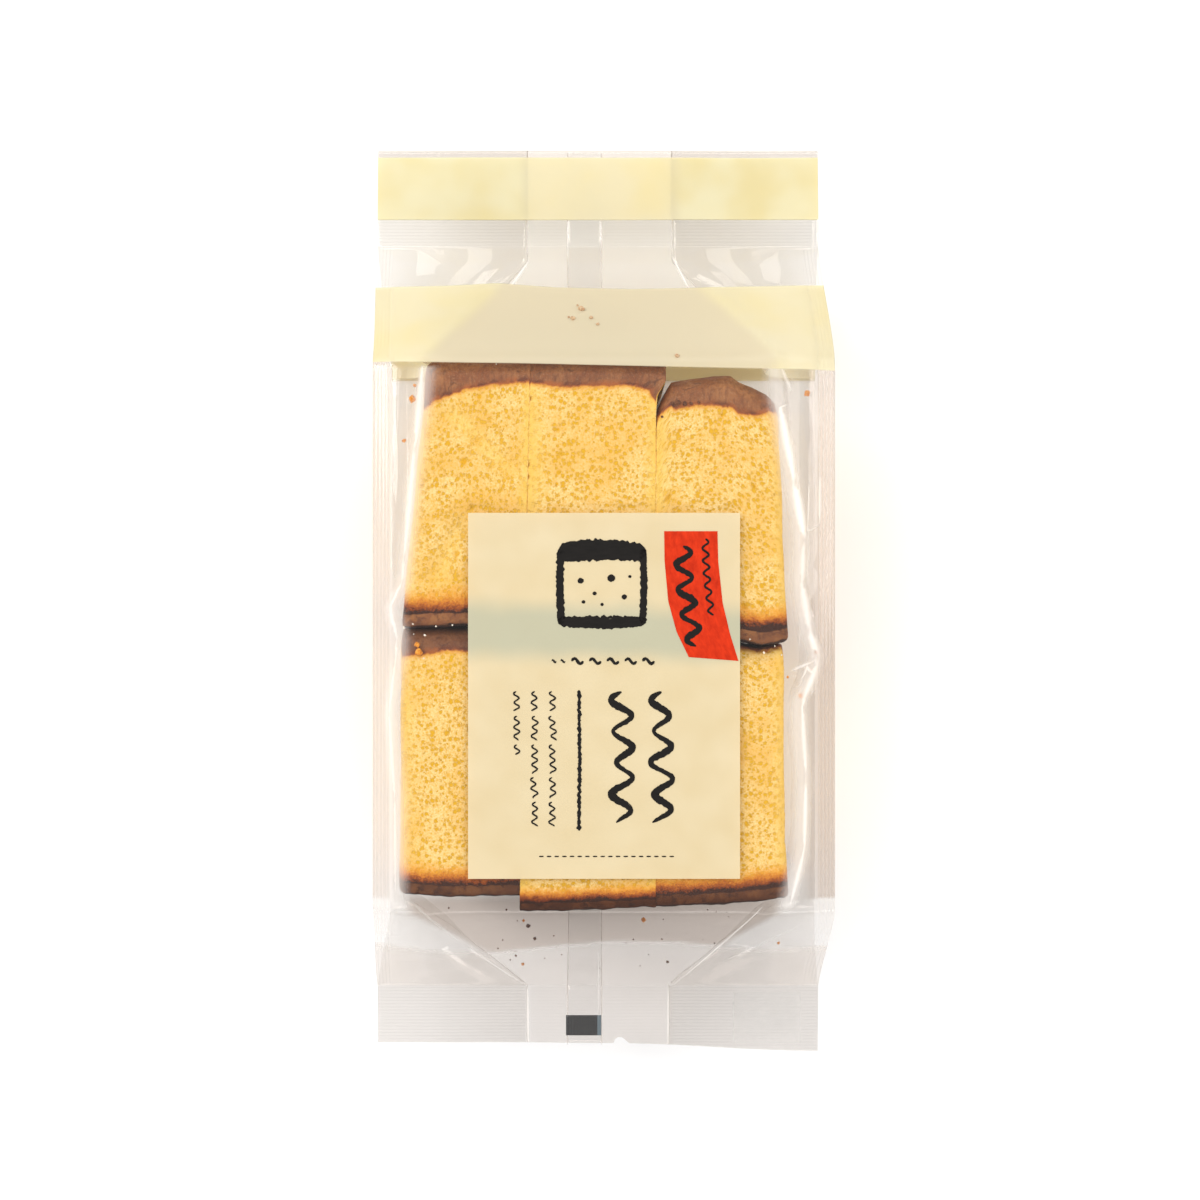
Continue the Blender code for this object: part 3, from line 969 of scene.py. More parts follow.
def foldedIn(y):
    # how far the gussets are folded in
    return np.clip(towardsSeal(y) * np.where(y > 0, film["upperFold"], 1.0), 0, 1)


def acrossPanel(count, inset):
    # places across a panel, closer together round the tear nick
    half = pack["width"] / 2 - inset
    near = film["nickPoints"]
    nick = pack["nickAt"] + pack["nickRadius"] * np.array([-share for share in near[::-1]] + [0, *near])
    evenly = np.linspace(-half, half, count)
    return np.sort(np.concatenate([evenly[np.abs(evenly - pack["nickAt"]) > pack["nickRadius"]], nick]))


def gussetLayer(zone, value, side, front):
    # one layer of a gusset, from the bag's edge in to its fold: points, and how far each is from the fold
    ringY = ringHeight(zone, value)
    shift, away, folded = leanAt(ringY), towardsSeal(ringY), foldedIn(ringY)
    half, fin, points = pack["width"] / 2, pack["fin"], film["finPoints"][1]
    foldIn = pack["foldIn"] - (film["upperRightLess"] if ringY > 0 and side > 0 else 0.0)
    foldX = mix(along(ringY, wallRight if side > 0 else wallLeft), side * (half - foldIn) + shift, folded)
    foldZ = mix(pack["height"] / 2, pack["sealHeight"], folded)
    lift = film["layerGap"] * (1 if front else -1)

    finX = side * (half - np.linspace(0.15, fin, points)) + shift
    finY = rowPlace(zone, value, finX)
    finZ = (frontHeight(finX, finY) if front else backHeight(finY)) - lift * np.linspace(0.5, 1, points)

    share = np.linspace(0, 1, film["gussetPoints"])[1:]
    power = mix(6.0, 1.0, ease(1.7 * away))
    x = foldX + (finX[-1] - foldX) * (1 - share) ** power
    y = rowPlace(zone, value, x)
    z = mix(finZ[-1] + droopAt(finY[-1]), foldZ + lift * 0.25 * away, share) - droopAt(y)
    fromFold = np.hypot(x - foldX, z - z[-1]) * (1 if front else -1)
    return np.stack([
        np.concatenate([finX, x]), np.concatenate([finY, y]), np.concatenate([finZ, z]),
        np.concatenate([np.full_like(finX, farOff), fromFold]),
    ], axis=1)


def filmRing(zone, value):
    # one ring of points round the bag: front, right gusset, back, left gusset
    shift = leanAt(ringHeight(zone, value))
    half, fin = pack["width"] / 2, pack["fin"]
    outside = np.linspace(0, fin, film["finPoints"][0], endpoint=False)
    inside = acrossPanel(film["frontPoints"], fin)
    frontX = np.concatenate([-half + outside, inside, half - outside[::-1]]) + shift
    frontY = rowPlace(zone, value, frontX)
    backX = acrossPanel(film["backPoints"], 0.0)[::-1] + shift
    backY = rowPlace(zone, value, backX)
    front, back = (
        np.stack([x, y, z, np.full_like(x, farOff)], axis=1)
        for x, y, z in ((frontX, frontY, frontHeight(frontX, frontY)), (backX, backY, backHeight(backY)))
    )
    rightFront, rightBack = (gussetLayer(zone, value, 1, facing) for facing in (True, False))
    leftFront, leftBack = (gussetLayer(zone, value, -1, facing) for facing in (True, False))
    rows = (
        (front, panels["front"]),
        (rightFront, panels["gusset"]), (rightBack[::-1][1:], panels["gusset"]),
        (back, panels["back"]),
        (leftBack, panels["gusset"]), (leftFront[::-1][1:], panels["gusset"]),
    )
    places = np.concatenate([part for part, _ in rows])
    return places[:, :3], np.concatenate([np.full(len(part), panel) for part, panel in rows]), places[:, 3]


def endFaces(points, layer):
    # closes one cut end between its films, without bridging the tear nick
    def stitch(upper, lower):
        made = []
        i = j = 0
        while i < len(upper) - 1 or j < len(lower) - 1:
            ahead = i < len(upper) - 1 and (
                j == len(lower) - 1 or points[upper[i + 1]][0] < points[lower[j + 1]][0])
            if ahead:
                made.append((upper[i], lower[j], upper[i + 1]))
                i += 1
            else:
                made.append((upper[i], lower[j], lower[j + 1]))
                j += 1
        return [face for face in made if len(set(face)) == 3]

    count = len(layer)
    front = [i for i in range(count) if layer[i] == panels["front"]]
    back = [i for i in range(count) if layer[i] == panels["back"]][::-1]
    right = [i for i in range(count) if layer[i] == panels["gusset"] and i < back[-1]]
    left = [i for i in range(count) if layer[i] == panels["gusset"] and i > back[-1]]
    foldRight = min(right, key=lambda i: points[i][0])
    foldLeft = max(left, key=lambda i: points[i][0])
    upperRight = [i for i in right if i <= foldRight][::-1]
    lowerRight = [i for i in right if i >= foldRight]
    lowerLeft = [i for i in left if i <= foldLeft]
    upperLeft = [i for i in left if i >= foldLeft][::-1]
    between = [i for i in back if points[foldLeft][0] < points[i][0] < points[foldRight][0]]
    outerLeft = [i for i in back if points[i][0] <= points[foldLeft][0]]
    outerRight = [i for i in back if points[i][0] >= points[foldRight][0]]
    return (
        stitch(front, upperLeft + between + upperRight)
        + stitch(lowerLeft, outerLeft + between[:1])
        + stitch(lowerRight, between[-1:] + outerRight)
    )


def filmFaces(points, layer, rows):
    # quads between the rings, and the closed ends
    count = len(layer) // rows
    last = (rows - 1) * count
    faces = []
    for base in range(0, last, count):
        for i in range(count):
            j = (i + 1) % count
            faces.append((base + i, base + j, base + count + j, base + count + i))
    for start, flip in ((0, False), (last, True)):
        for face in endFaces(points[start:start + count], layer[:count]):
            faces.append(tuple(start + i for i in (face[::-1] if flip else face)))
    return faces


def crushFilm(points, layer, finShare):
    # the front stands up in facets, the ends sag and swell, and the gussets' walls buckle
    x, y = points[:, 0].copy(), points[:, 1].copy()
    front, gusset, back = (layer == panels[name] for name in ("front", "gusset", "back"))
    toSeal = np.minimum(pack["topSeal"] - y, y - pack["bottomSeal"])
    slope = np.clip(np.sin(towardsSeal(y) * math.pi), 0, 1)
    lift = frontLift(x, y)
    points[:, 2] += np.where(front, lift, 0.0)
    points[:, 2] -= np.where(back, 0.5 * slope * lift * ease(toSeal / 6), 0.0)
    middle = np.array([noise.noise(Vector((a / 26, b / 18, 1.7))) for a, b in zip(x, y)])
    points[:, 2] += 0.8 * middle * np.clip(-toSeal / 8, 0, 1)
    coarse, fine = facets(x, y)
    push = (0.5 * coarse + 0.25 * fine) * np.where(y > 62, 0.35, 1.0)
    points[:, 0] += np.where(gusset, push * ease(toSeal / 6) * (1 - finShare), 0.0) * np.sign(x)
    raised = np.maximum(points[:, 2], pack["underside"] - 0.03)
    points[:, 2] = np.where(back & (toSeal >= 0), raised, points[:, 2])


def filmPlaces(points, layer, finShare):
    # what the values below need to know of each point
    x, y = points[:, 0], points[:, 1]
    at = SimpleNamespace(x=x, y=y, out=np.abs(x), finShare=finShare)
    at.front, at.gusset, at.back = (layer == panels[name] for name in ("front", "gusset", "back"))
    at.inSeal = (y > pack["topSeal"]) | (y < pack["bottomSeal"])
    at.wall = np.where(x > 0, along(y, wallRight), -along(y, wallLeft))
    sealedFold = pack["width"] / 2 - pack["foldIn"] + np.where(x > 0, 1, -1) * leanAt(y)
    at.foldX = mix(at.wall, sealedFold, foldedIn(y))
    at.edge = along(x, film["sheenEdge"])
    low, high = film["earReach"]
    at.ear = at.front & ~at.inSeal & (y > low) & (y < high)
    at.overEar = ease((at.out - film["earFrom"]) / 2.5)
    return at


def bandShare(at):
    # how far across the lower cream band each point is, from 0 at its lower edge to 1 at its upper one
    frontEdges = ("bandFrontLow", "bandFrontHigh")
    low, high = (
        np.select([at.front, at.gusset], [along(at.x, film[name]), onGusset], onBack)
        for name, onGusset, onBack in zip(frontEdges, film["bandGusset"], film["bandBack"])
    )
    return (at.y - low) / (high - low)


def inkCoats(at):
    # more ink where the printed gusset lies close behind the front; where it does not, the band over the
    # hollow is painted darker, as painted shade
    coats = np.where(at.front, ease((at.out - at.foldX) / film["coatsBlur"] + 0.5), 1.0)
    nearTop = at.inSeal | (at.y > pack["topSeal"] - 2)
    return np.where(nearTop, mix(0.72, 1.0, ease((at.out - 18) / 4)), np.minimum(coats, film["coatsMost"]))


def creaseShine(at, gussetFold):
    # the signed distance to the nearest fold in its half widths, and how strongly that fold shines
    fold, shown = foldAt(at.x, at.y)
    onFold = at.gusset & (np.abs(gussetFold) < 3) & ((towardsSeal(at.y) > 0.02) | at.inSeal)
    shown = np.where(at.front, shown, np.where(onFold, film["foldShine"], 0.0))
    return np.where(at.front, fold, gussetFold / film["foldHalfWidth"]), shown


def hazeAndSheenAmount(at):
    # painted sheen on the lower slope below its edge, with a painted highlight along that edge; milky over
    # the ears; painted highlights where the film bends over the slices and along the gussets' walls
    below = at.edge - at.y
    # painted highlight: a pale line just below the sheen's edge
    rim = 0.14 * np.exp(-((below - 0.9) / 0.8) ** 2)
    sheenVeil = np.where(at.front & (below > 0) & ~at.inSeal, film["sheenVeil"] * ease(below / 0.8) + rim, 0.0)
    sheenVeil += np.where(at.ear, np.where(at.x < 0, *film["earMilk"]) * at.overEar, 0.0)
    outer = at.out - at.wall
    overFood = ease((at.y + 79) / 4)
    bend = ease((outer + 4.5) / 3.5) * (1 - 0.8 * ease(outer / 2))
    sheenVeil += np.where(at.front & (at.y < 58), film["bendSheen"] * bend * overFood, 0.0)
    byWall = ease((3.0 - np.abs(outer)) / 2) * overFood * ease((60 - at.y) / 4)
    sheenVeil += np.where(at.gusset, film["wallSheen"] * byWall * (1 - at.finShare), 0.0)
    return sheenVeil


def greyness(at):
    # painted shade makes the film greyer over the shaded lower end and its seal; it is also made greyer at
    # its ears and along its cut upper edge
    between, over, veiled = film["lowerShade"]
    shade = mix(between, over, ease((at.out - at.foldX + 5) / 4))
    lower = mix(shade, veiled, ease(at.edge - at.y)) * ease((-72 - at.y) / 3)
    greyAndShade = np.where(at.front & (at.y < -70), lower, 0.0)
    sealed = mix(*film["sealShade"], ease((at.out - 17.5) / 2))
    greyAndShade = np.where(at.front & at.inSeal & (at.y < 0), sealed, greyAndShade)
    greyAndShade = np.where(at.front & (at.y > film["topBand"][1]), film["topEdgeGrey"], greyAndShade)
    earGrey = np.where(at.x < 0, *film["earGrey"]) + film["finGrey"] * at.finShare
    return np.where(at.ear & (at.y > -74), mix(greyAndShade, earGrey, at.overEar), greyAndShade)


def buildFilmMesh():
    rings = [filmRing(zone, value) for zone, value in filmRows()]
    points, layer, gussetFold = (np.concatenate(part) for part in zip(*rings))
    finShare = onFin(points[:, 0], points[:, 1])
    crushFilm(points, layer, finShare)
    at = filmPlaces(points, layer, finShare)
    fold, foldShare = creaseShine(at, gussetFold)
    ribbed = (at.y < pack["bottomSeal"] - 0.3) | ((at.y > pack["topSeal"]) & (at.y < film["upperRibsEnd"]))
    return points, filmFaces(points, layer, len(rings)), {
        "band": bandShare(at),
        "across": (at.x - leanAt(at.y)) * mm,
        "sealRibs": np.where(ribbed, 1.0, 0.0),
        "edgeRibs": np.where(at.front & ~at.inSeal, finShare, 0.0),
        "coats": inkCoats(at),
        "inkThinness": np.where(at.back, film["inkThinness"][1], film["inkThinness"][0]),
        "hazeAndSheen": hazeAndSheenAmount(at),
        "greyAndShade": greyness(at),
        "fold": fold,
        "foldShare": foldShare,
    }


def ribTree():
    # presses fine ribs into the film: across it at the seals, and lengthwise along its edges
    tree, sizes = nodesTree("pressed ribs", {
        "Seal rib pitch": ("NodeSocketFloat", 0.001),
        "Seal rib height": ("NodeSocketFloat", 0.0001),
        "Edge rib pitch": ("NodeSocketFloat", 0.001),
        "Edge rib height": ("NodeSocketFloat", 0.0001),
        "Material": ("NodeSocketMaterial", None),
    })
    given = sizes.outputs
    add = partial(addNode, tree)
    along = add("ShaderNodeSeparateXYZ", [add("GeometryNodeInputPosition")], "Y")
    across = add("GeometryNodeInputNamedAttribute", ["across"], data_type="FLOAT")
    total = 0.0
    for place, name, kind in ((along, "sealRibs", "Seal"), (across, "edgeRibs", "Edge")):
        mask = add("GeometryNodeInputNamedAttribute", [name], data_type="FLOAT")
        turns = add(mathNode, (place, given[f"{kind} rib pitch"]), operation="DIVIDE")
        angle = add(mathNode, (turns, 2 * math.pi), operation="MULTIPLY")
        wave = add(mathNode, [angle], operation="SINE")
        height = add(mathNode, (wave, given[f"{kind} rib height"]), operation="MULTIPLY")
        total = add(mathNode, (height, mask, total), operation="MULTIPLY_ADD")
    offset = add("ShaderNodeCombineXYZ", {"Z": total})
    shifted = add("GeometryNodeSetPosition", {"Geometry": given["Geometry"], "Offset": offset})
    closeTree(tree, shifted, given["Material"])
    return tree


def clearFilm(tree, haze, tint):
    # lets light through, mirrors more at grazing angles, and is milky by its haze, which in places carries
    # painted highlights and sheen
    seeThrough = addNode(tree, "ShaderNodeBsdfTransparent", [tint])
    gloss = addNode(tree, "ShaderNodeBsdfGlossy", {"Color": (1, 1, 1, 1), "Roughness": 0.0})
    # both faces of the film mirror, so the same share is needed from inside as from outside
    tilt = addNode(tree, "ShaderNodeLayerWeight", {"Blend": 0.5}, "Facing")
    steep = addNode(tree, mathNode, (tilt, 5.0), operation="POWER")
    shine = addNode(tree, mathNode, (steep, film["grazing"], film["mirror"]), operation="MULTIPLY_ADD")
    body = addNode(tree, "ShaderNodeMixShader", (shine, seeThrough, gloss))
    lit = addNode(tree, "ShaderNodeBsdfDiffuse", [srgb(film["milkAndSheen"])])
    glow = addNode(tree, "ShaderNodeBsdfTranslucent", [srgb(film["milkAndSheen"])])
    milkAndSheen = addNode(tree, "ShaderNodeMixShader", (0.3, lit, glow))
    return addNode(tree, "ShaderNodeMixShader", (haze, body, milkAndSheen))


def filmMaterial():
    # biaxially oriented polypropylene film: thin, glossy and clear, with cream ink printed inside
    made, tree = newMaterial("biaxially oriented polypropylene film")
    add = partial(addNode, tree)
    place = add("ShaderNodeTexCoord", out="Object")
    axes = add("ShaderNodeSeparateXYZ", [place]).node.outputs
    given = {name: add(attributeNode, out="Fac", attribute_name=name) for name in (
        "band", "across", "coats", "inkThinness", "hazeAndSheen", "greyAndShade", "fold", "foldShare",
        "sealRibs", "edgeRibs",
    )}

    # a folded film catches the light along its crease as one fine pale line
    away = add(mathNode, [given["fold"]], operation="ABSOLUTE")
    line = add(rangeNode, (away, 1.0, 0.0), **smoothStep)
    haze = add(mathNode, (line, given["foldShare"], given["hazeAndSheen"]), operation="MULTIPLY_ADD")
    # the crest of each pressed rib does the same
    for run, mask, pitch, shine in (
        (given["across"], given["edgeRibs"], film["edgeRibPitch"], film["ribShine"]),
        (axes[1], given["sealRibs"], film["ribPitch"], film["sealRibShine"]),
    ):
        angle = add(mathNode, (run, 2 * math.pi / (pitch * mm)), operation="MULTIPLY")
        wave = add(mathNode, [angle], operation="SINE")
        crest = add(rangeNode, {0: wave, 1: 0.3, 2: 1.0, 4: shine})
        haze = add(mathNode, (crest, mask, haze), operation="MULTIPLY_ADD", use_clamp=True)
    # painted shade: the tint turns greyer over the shaded lower end and seal, and greyer at the ears and
    # upper edge
    tint = layered(tree, srgb(film["tint"]), [(given["greyAndShade"], srgb(film["greyAndShade"]))])
    clear = clearFilm(tree, haze, tint)

    low, high = (value * mm for value in film["topBand"])
    edges = []
    for value, start, end, soft in ((given["band"], 0.0, 1.0, 0.008), (axes[1], low, high, 0.1 * mm)):
        begun = add(rangeNode, (value, start - soft, start + soft), **smoothStep)
        going = add(rangeNode, (value, end + soft, end - soft), **smoothStep)
        edges.append(add(mathNode, (begun, going), operation="MULTIPLY"))
    printed = add(mathNode, edges, operation="MAXIMUM")

    # two coats of ink, where the printed gusset lies close behind, look brighter than one; the single coat
    # over the hollow is also darker as painted shade
    cloudy = add(noiseNode, {"Vector": place, "Scale": 1 / (film["inkDrift"] * mm), "Detail": 2.0})
    drift = add(rangeNode, (cloudy, 0.35, 0.7), **smoothStep)
    single = srgb(film["inkOneCoatShaded"])
    double = layered(tree, single, [(given["coats"], srgb(film["ink"])), (drift, srgb(film["inkDeep"]))])
    ink = layered(tree, single, [(given["coats"], double)])
    face = add(principledNode, {
        "Base Color": ink, "Roughness": 0.32, "Specular IOR Level": 0.35,
    })
    through = add("ShaderNodeBsdfTranslucent", [ink])
    paint = add("ShaderNodeMixShader", (0.3, face, through))
    glimpse = add("ShaderNodeBsdfTransparent", [srgb(film["inkGlimpse"])])
    paint = add("ShaderNodeMixShader", (given["inkThinness"], paint, glimpse))
    both = add("ShaderNodeMixShader", (printed, clear, paint))
    add("ShaderNodeOutputMaterial", [both])
    return made


def buildFilm():
    material = filmMaterial()
    points, faces, values = buildFilmMesh()
    faces = faceOutwards(points, faces)
    made = meshObject("film_bag", points, faces, material, values=values)
    growWith(made, ribTree(), {
        "Seal rib pitch": film["ribPitch"] * mm,
        "Seal rib height": film["ribHeight"] * mm,
        "Edge rib pitch": film["edgeRibPitch"] * mm,
        "Edge rib height": film["edgeRibHeight"] * mm,
        "Material": material,
    })
    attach(made, "root")
    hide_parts("bag")
    print("film made,", len(points), "points")


buildFilm()


label = {
    "left": -32.9, "right": 34.5, "top": 21.85, "bottom": -68.85,
    "above": 62.3, "thick": 0.22,
    "cream": "#e9d9b4", "creamLow": "#dfcb9f",
    "seamTint": "#bebea5",    # where the dark seam between the two rows shows through
    "seamAt": -7.5,
    "seamReach": (9.5, 3.0),  # how far from it the tint starts, and where it is full
    "thinness": 0.24,
    "wave": 0.12,
    "rows": 62, "columns": 45,
}


def labelHeight(x, y):
    # a label stuck to film over soft slices: nearly flat, with broad shallow waves
    return label["above"] + label["wave"] * np.array([
        noise.noise(Vector((a / 24, b / 30, 3.3))) for a, b in zip(np.ravel(x), np.ravel(y))
    ]).reshape(np.shape(x))


def slab(left, right, under, thick, columns=1):
    # a thin closed sheet between two edges: points, faces, and each point's share across
    rows = len(left)
    shares = np.linspace(0, 1, columns + 1)
    flat = left[:, None, :] + (right - left)[:, None, :] * shares[None, :, None]
    x, y = flat[..., 0], flat[..., 1]
    low = under(x, y)
    n, wide = rows * (columns + 1), columns + 1
    points = np.concatenate([
        np.stack([x, y, low], axis=-1).reshape(-1, 3),
        np.stack([x, y, low + thick], axis=-1).reshape(-1, 3),
    ])
    faces = []
    for j in range(rows - 1):
        for i in range(columns):
            a = j * wide + i
            faces.append((a, a + wide, a + wide + 1, a + 1))
            faces.append((n + a, n + a + 1, n + a + wide + 1, n + a + wide))
    for i in range(columns):
        a, b = i, (rows - 1) * wide + i
        faces.append((a, a + 1, n + a + 1, n + a))
        faces.append((b + 1, b, n + b, n + b + 1))
    for j in range(rows - 1):
        a, b = j * wide, j * wide + columns
        faces.append((a + wide, a, n + a, n + a + wide))
        faces.append((b, b + wide, n + b + wide, n + b))
    return points, faceOutwards(points, faces), np.tile(np.tile(shares, rows), 2)


def labelMaterial():
    # coated label stock: a smooth cream film, slightly see-through
    made, tree = newMaterial("coated label stock")
    add = partial(addNode, tree)
    place = add("ShaderNodeTexCoord", out="Object")
    height = add("ShaderNodeSeparateXYZ", [place], "Y")
    cloudy = add(noiseNode, {"Vector": place, "Scale": 1 / (26 * mm), "Detail": 2.0})
    wander = (cloudy, 8 * mm, -4 * mm - label["seamAt"] * mm)
    drift = add(mathNode, wander, operation="MULTIPLY_ADD")
    away = add(mathNode, (height, drift), operation="ADD")
    off = add(mathNode, [away], operation="ABSOLUTE")
    start, full = (place * mm for place in label["seamReach"])
    seam = add(rangeNode, {0: off, 1: start, 2: full, 4: 0.8}, **smoothStep)
    # smooth wet-looking patches where the film under it touches the crumb
    touch = add(noiseNode, {"Vector": place, "Scale": 1 / (9 * mm), "Detail": 1.0})
    coats = [(touch, srgb(label["creamLow"])), (seam, srgb(label["seamTint"]))]
    cream = layered(tree, srgb(label["cream"]), coats)
    face = add(principledNode, {
        "Base Color": cream, "Roughness": 0.42, "Specular IOR Level": 0.35,
    })
    glimpse = add("ShaderNodeBsdfTransparent", [(1, 1, 1, 1)])
    body = add("ShaderNodeMixShader", (label["thinness"], face, glimpse))
    add("ShaderNodeOutputMaterial", [body])
    return made


def buildLabel():
    ys = np.linspace(label["bottom"], label["top"], label["rows"])
    left, right = (np.stack([np.full_like(ys, label[side]), ys], axis=1) for side in ("left", "right"))
    points, faces, _ = slab(left, right, labelHeight, label["thick"], label["columns"])
    made = meshObject("label_sheet", points, faces, labelMaterial())
    made.data.set_sharp_from_angle(angle=math.radians(40))
    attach(made, "root")
    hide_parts("label")
    print("label made")


buildLabel()


# The print on the label: a brush-drawn slice, a red ribbon, and rows of plain brush strokes
printing = {
    "above": 0.03,            # the ink's height above the label, and its thickness
    "thick": 0.03,
    "black": "#131211", "dryBlack": "#252220",
    "red": "#870900", "dryRed": "#f5431b",
    # the red ribbon: a height on the label, and where its left and right edges are there
    "ribbon": [(-13.9, 21.8, 34.1), (-7.7, 18.8, 32.1), (0.0, 16.7, 30.2), (10.0, 15.8, 29.1),
               (17.3, 15.7, 28.9)],
    "sliceAt": (0.3, 3.9),
    "sliceSize": (23.0, 21.0),
    "ruleAt": (-5.4, -22.1, -56.9),
    "titleWaves": [(15.0, -22.5, -55.0), (5.4, -22.5, -55.0)],
    "smallWaves": [(-12.0, -22.4, -57.5), (-16.4, -22.4, -57.8), (-20.9, -22.4, -38.0)],
    # the picture's bubbles: place as shares across and up, and size
    "bubbles": [
        (0.27, 0.55, 1.5), (0.42, 0.4, 1.0), (0.6, 0.58, 1.9), (0.74, 0.36, 1.3), (0.5, 0.27, 0.8),
        (0.8, 0.6, 0.8), (0.3, 0.3, 0.9),
    ],
    # a row of short waves: place across, length and height
    "rowAt": -14.9,
    "rowWaves": [
        (-11.6, 1.1, 0.45), (-9.4, 1.1, 0.45), (-5.8, 2.9, 0.75), (-1.4, 2.9, 0.7), (3.0, 2.9, 0.75),
        (7.4, 2.9, 0.7), (11.8, 2.9, 0.75),
    ],
    "dashAt": -63.3,
    "dashes": (-15.3, 17.2, 1.9, 1.15),  # from, to, pitch and length
}


def labelTop(extra):
    return lambda x, y: labelHeight(x, y) + label["thick"] + printing["above"] + extra


def brushStroke(path, width, seed, ragged=0.1, taper=1.5, extra=0.0):
    # one stroke of a loaded brush along a path: width in mm by share, ragged edges, tapered ends
    path = np.asarray(path, dtype=float)
    steps = np.hypot(*np.diff(path, axis=0).T)
    run = np.concatenate([[0], np.cumsum(steps)])
    stations = np.linspace(0, run[-1], max(int(run[-1] / 0.3), 6))
    x, y = np.interp(stations, run, path[:, 0]), np.interp(stations, run, path[:, 1])
    dx, dy = np.gradient(x), np.gradient(y)
    length = np.maximum(np.hypot(dx, dy), 1e-9)
    normal = np.stack([-dy / length, dx / length], axis=1)
    share = stations / run[-1]
    half = along(share, width if isinstance(width, list) else [(0, width)]) / 2
    ends = np.sqrt(np.clip(np.minimum(stations, run[-1] - stations) / max(taper, 1e-3) + 0.12, 0, 1))
    edges = []
    for side in (1, -1):
        places = [Vector((s * 1.1, side * 4.1, seed)) for s in stations]
        rough = np.array([noise.fractal(place, 0.8, 2.0, 4) for place in places])
        out = half * ends * (1 + ragged * rough * 2)
        edges.append(np.stack([x, y], axis=1) + side * normal * out[:, None])
    return slab(edges[0], edges[1], labelTop(extra), printing["thick"], 2), stations


def inkMaterial(name, colour, dryColour, dryness):
    # offset ink under a thin varnish: solid in the middle of a stroke, broken up along its dry edges
    made, tree = newMaterial(name)
    add = partial(addNode, tree)
    across = add(attributeNode, out="Fac", attribute_name="across")
    place = add(attributeNode, out="Vector", attribute_name="streak")
    streaks = add(noiseNode, {"Vector": place, "Scale": 1.0, "Detail": 4.0, "Roughness": 0.65})
    middle = add(mathNode, (across, 0.5), operation="SUBTRACT")
    rim = add(mathNode, [middle], operation="ABSOLUTE")
    dry = add(mathNode, (rim, dryness, streaks), operation="MULTIPLY_ADD")
    gone = add(rangeNode, (dry, 0.78, 0.84), **smoothStep)
    shade = layered(tree, srgb(colour), [(streaks, srgb(dryColour))])
    ink = add(principledNode, {
        "Base Color": shade, "Roughness": 0.45, "Specular IOR Level": 0.12,
    })
    bare = add("ShaderNodeBsdfTransparent", [(1, 1, 1, 1)])
    body = add("ShaderNodeMixShader", (gone, ink, bare))
    add("ShaderNodeOutputMaterial", [body])
    return made


def strokesObject(name, strokes, material):
    # joins many strokes into one mesh
    points, faces, across, streak = [], [], [], []
    start = 0
    for number, ((body, sides, share), stations) in enumerate(strokes):
        points.append(body)
        faces += [tuple(start + i for i in face) for face in sides]
        across.append(share)
        run = np.tile(np.repeat(stations, len(share) // 2 // len(stations)), 2)
        streak.append(np.stack([run * 0.28, share * 7.0, np.full_like(share, number * 3.7)], axis=1))
        start += len(body)
    made = meshObject(name, np.concatenate(points), faces, material, smooth=False, values={
        "across": np.concatenate(across), "streak": np.concatenate(streak),
    })
    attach(made, "root")
    return made


def waveLine(x, top, bottom, swing, pitch, seed):
    # a plain wavy line down the label
    ys = np.arange(top, bottom, -0.4)
    wander = np.array([noise.noise(Vector((y / pitch, seed, 0.5))) for y in ys])
    waves = swing * np.sin(2 * math.pi * (ys - top) / pitch) + 0.6 * swing * wander
    return list(zip(x + waves, ys))


def drawSlice():
    # a slice of cake in brush strokes: thick top crust, thin sides, bottom crust and a few bubbles
    (cx, cy), (wide, tall) = printing["sliceAt"], printing["sliceSize"]
    left, right, top, bottom = cx - wide / 2, cx + wide / 2, cy + tall / 2, cy - tall / 2
    bow, base = (
        [(mix(left + 0.6, right - 0.6, s), level + bend * math.sin(math.pi * s))
         for s in np.linspace(0, 1, 30)]
        for level, bend in ((top - 2.6, 0.9), (bottom + 1.6, -0.3))
    )
    strokes = [
        brushStroke(bow, [(0, 4.6), (0.3, 5.4), (0.8, 4.8), (1, 4.2)], 1, 0.1, 2.0),
        brushStroke(base, [(0, 2.6), (0.6, 3.3), (1, 2.4)], 2, 0.14, 1.6),
    ]
    for x, inward, width, seed in ((left, (1.3, 1.0, 1.4), 1.9, 3), (right, (-1.3, -1.1, -1.4), 1.7, 4)):
        path = list(zip((x + step for step in inward), (top - 1.5, cy, bottom + 1)))
        strokes.append(brushStroke(path, width, seed, 0.2, 1.0))
    for number, (u, v, size) in enumerate(printing["bubbles"]):
        x, y = mix(left, right, u), mix(bottom, top, v)
        path = [(x - size / 2, y), (x + size / 2, y + 0.15)]
        strokes.append(brushStroke(path, size, 10 + number, 0.1, size / 2))
    return strokes


def drawSmallWaves(number, x, top, bottom):
    # one column of short wavy strokes
    strokes = []
    y = top
    while y > bottom + 2:
        piece = len(strokes)
        end = max(y - 5.2 - (piece * 7 % 3), bottom)
        path = waveLine(x, y, end, 0.75, 2.2, 60 + number * 9 + piece)
        strokes.append(brushStroke(path, 0.42, 70 + number * 9 + piece, 0.15, 0.4))
        y = end - 0.9
    return strokes


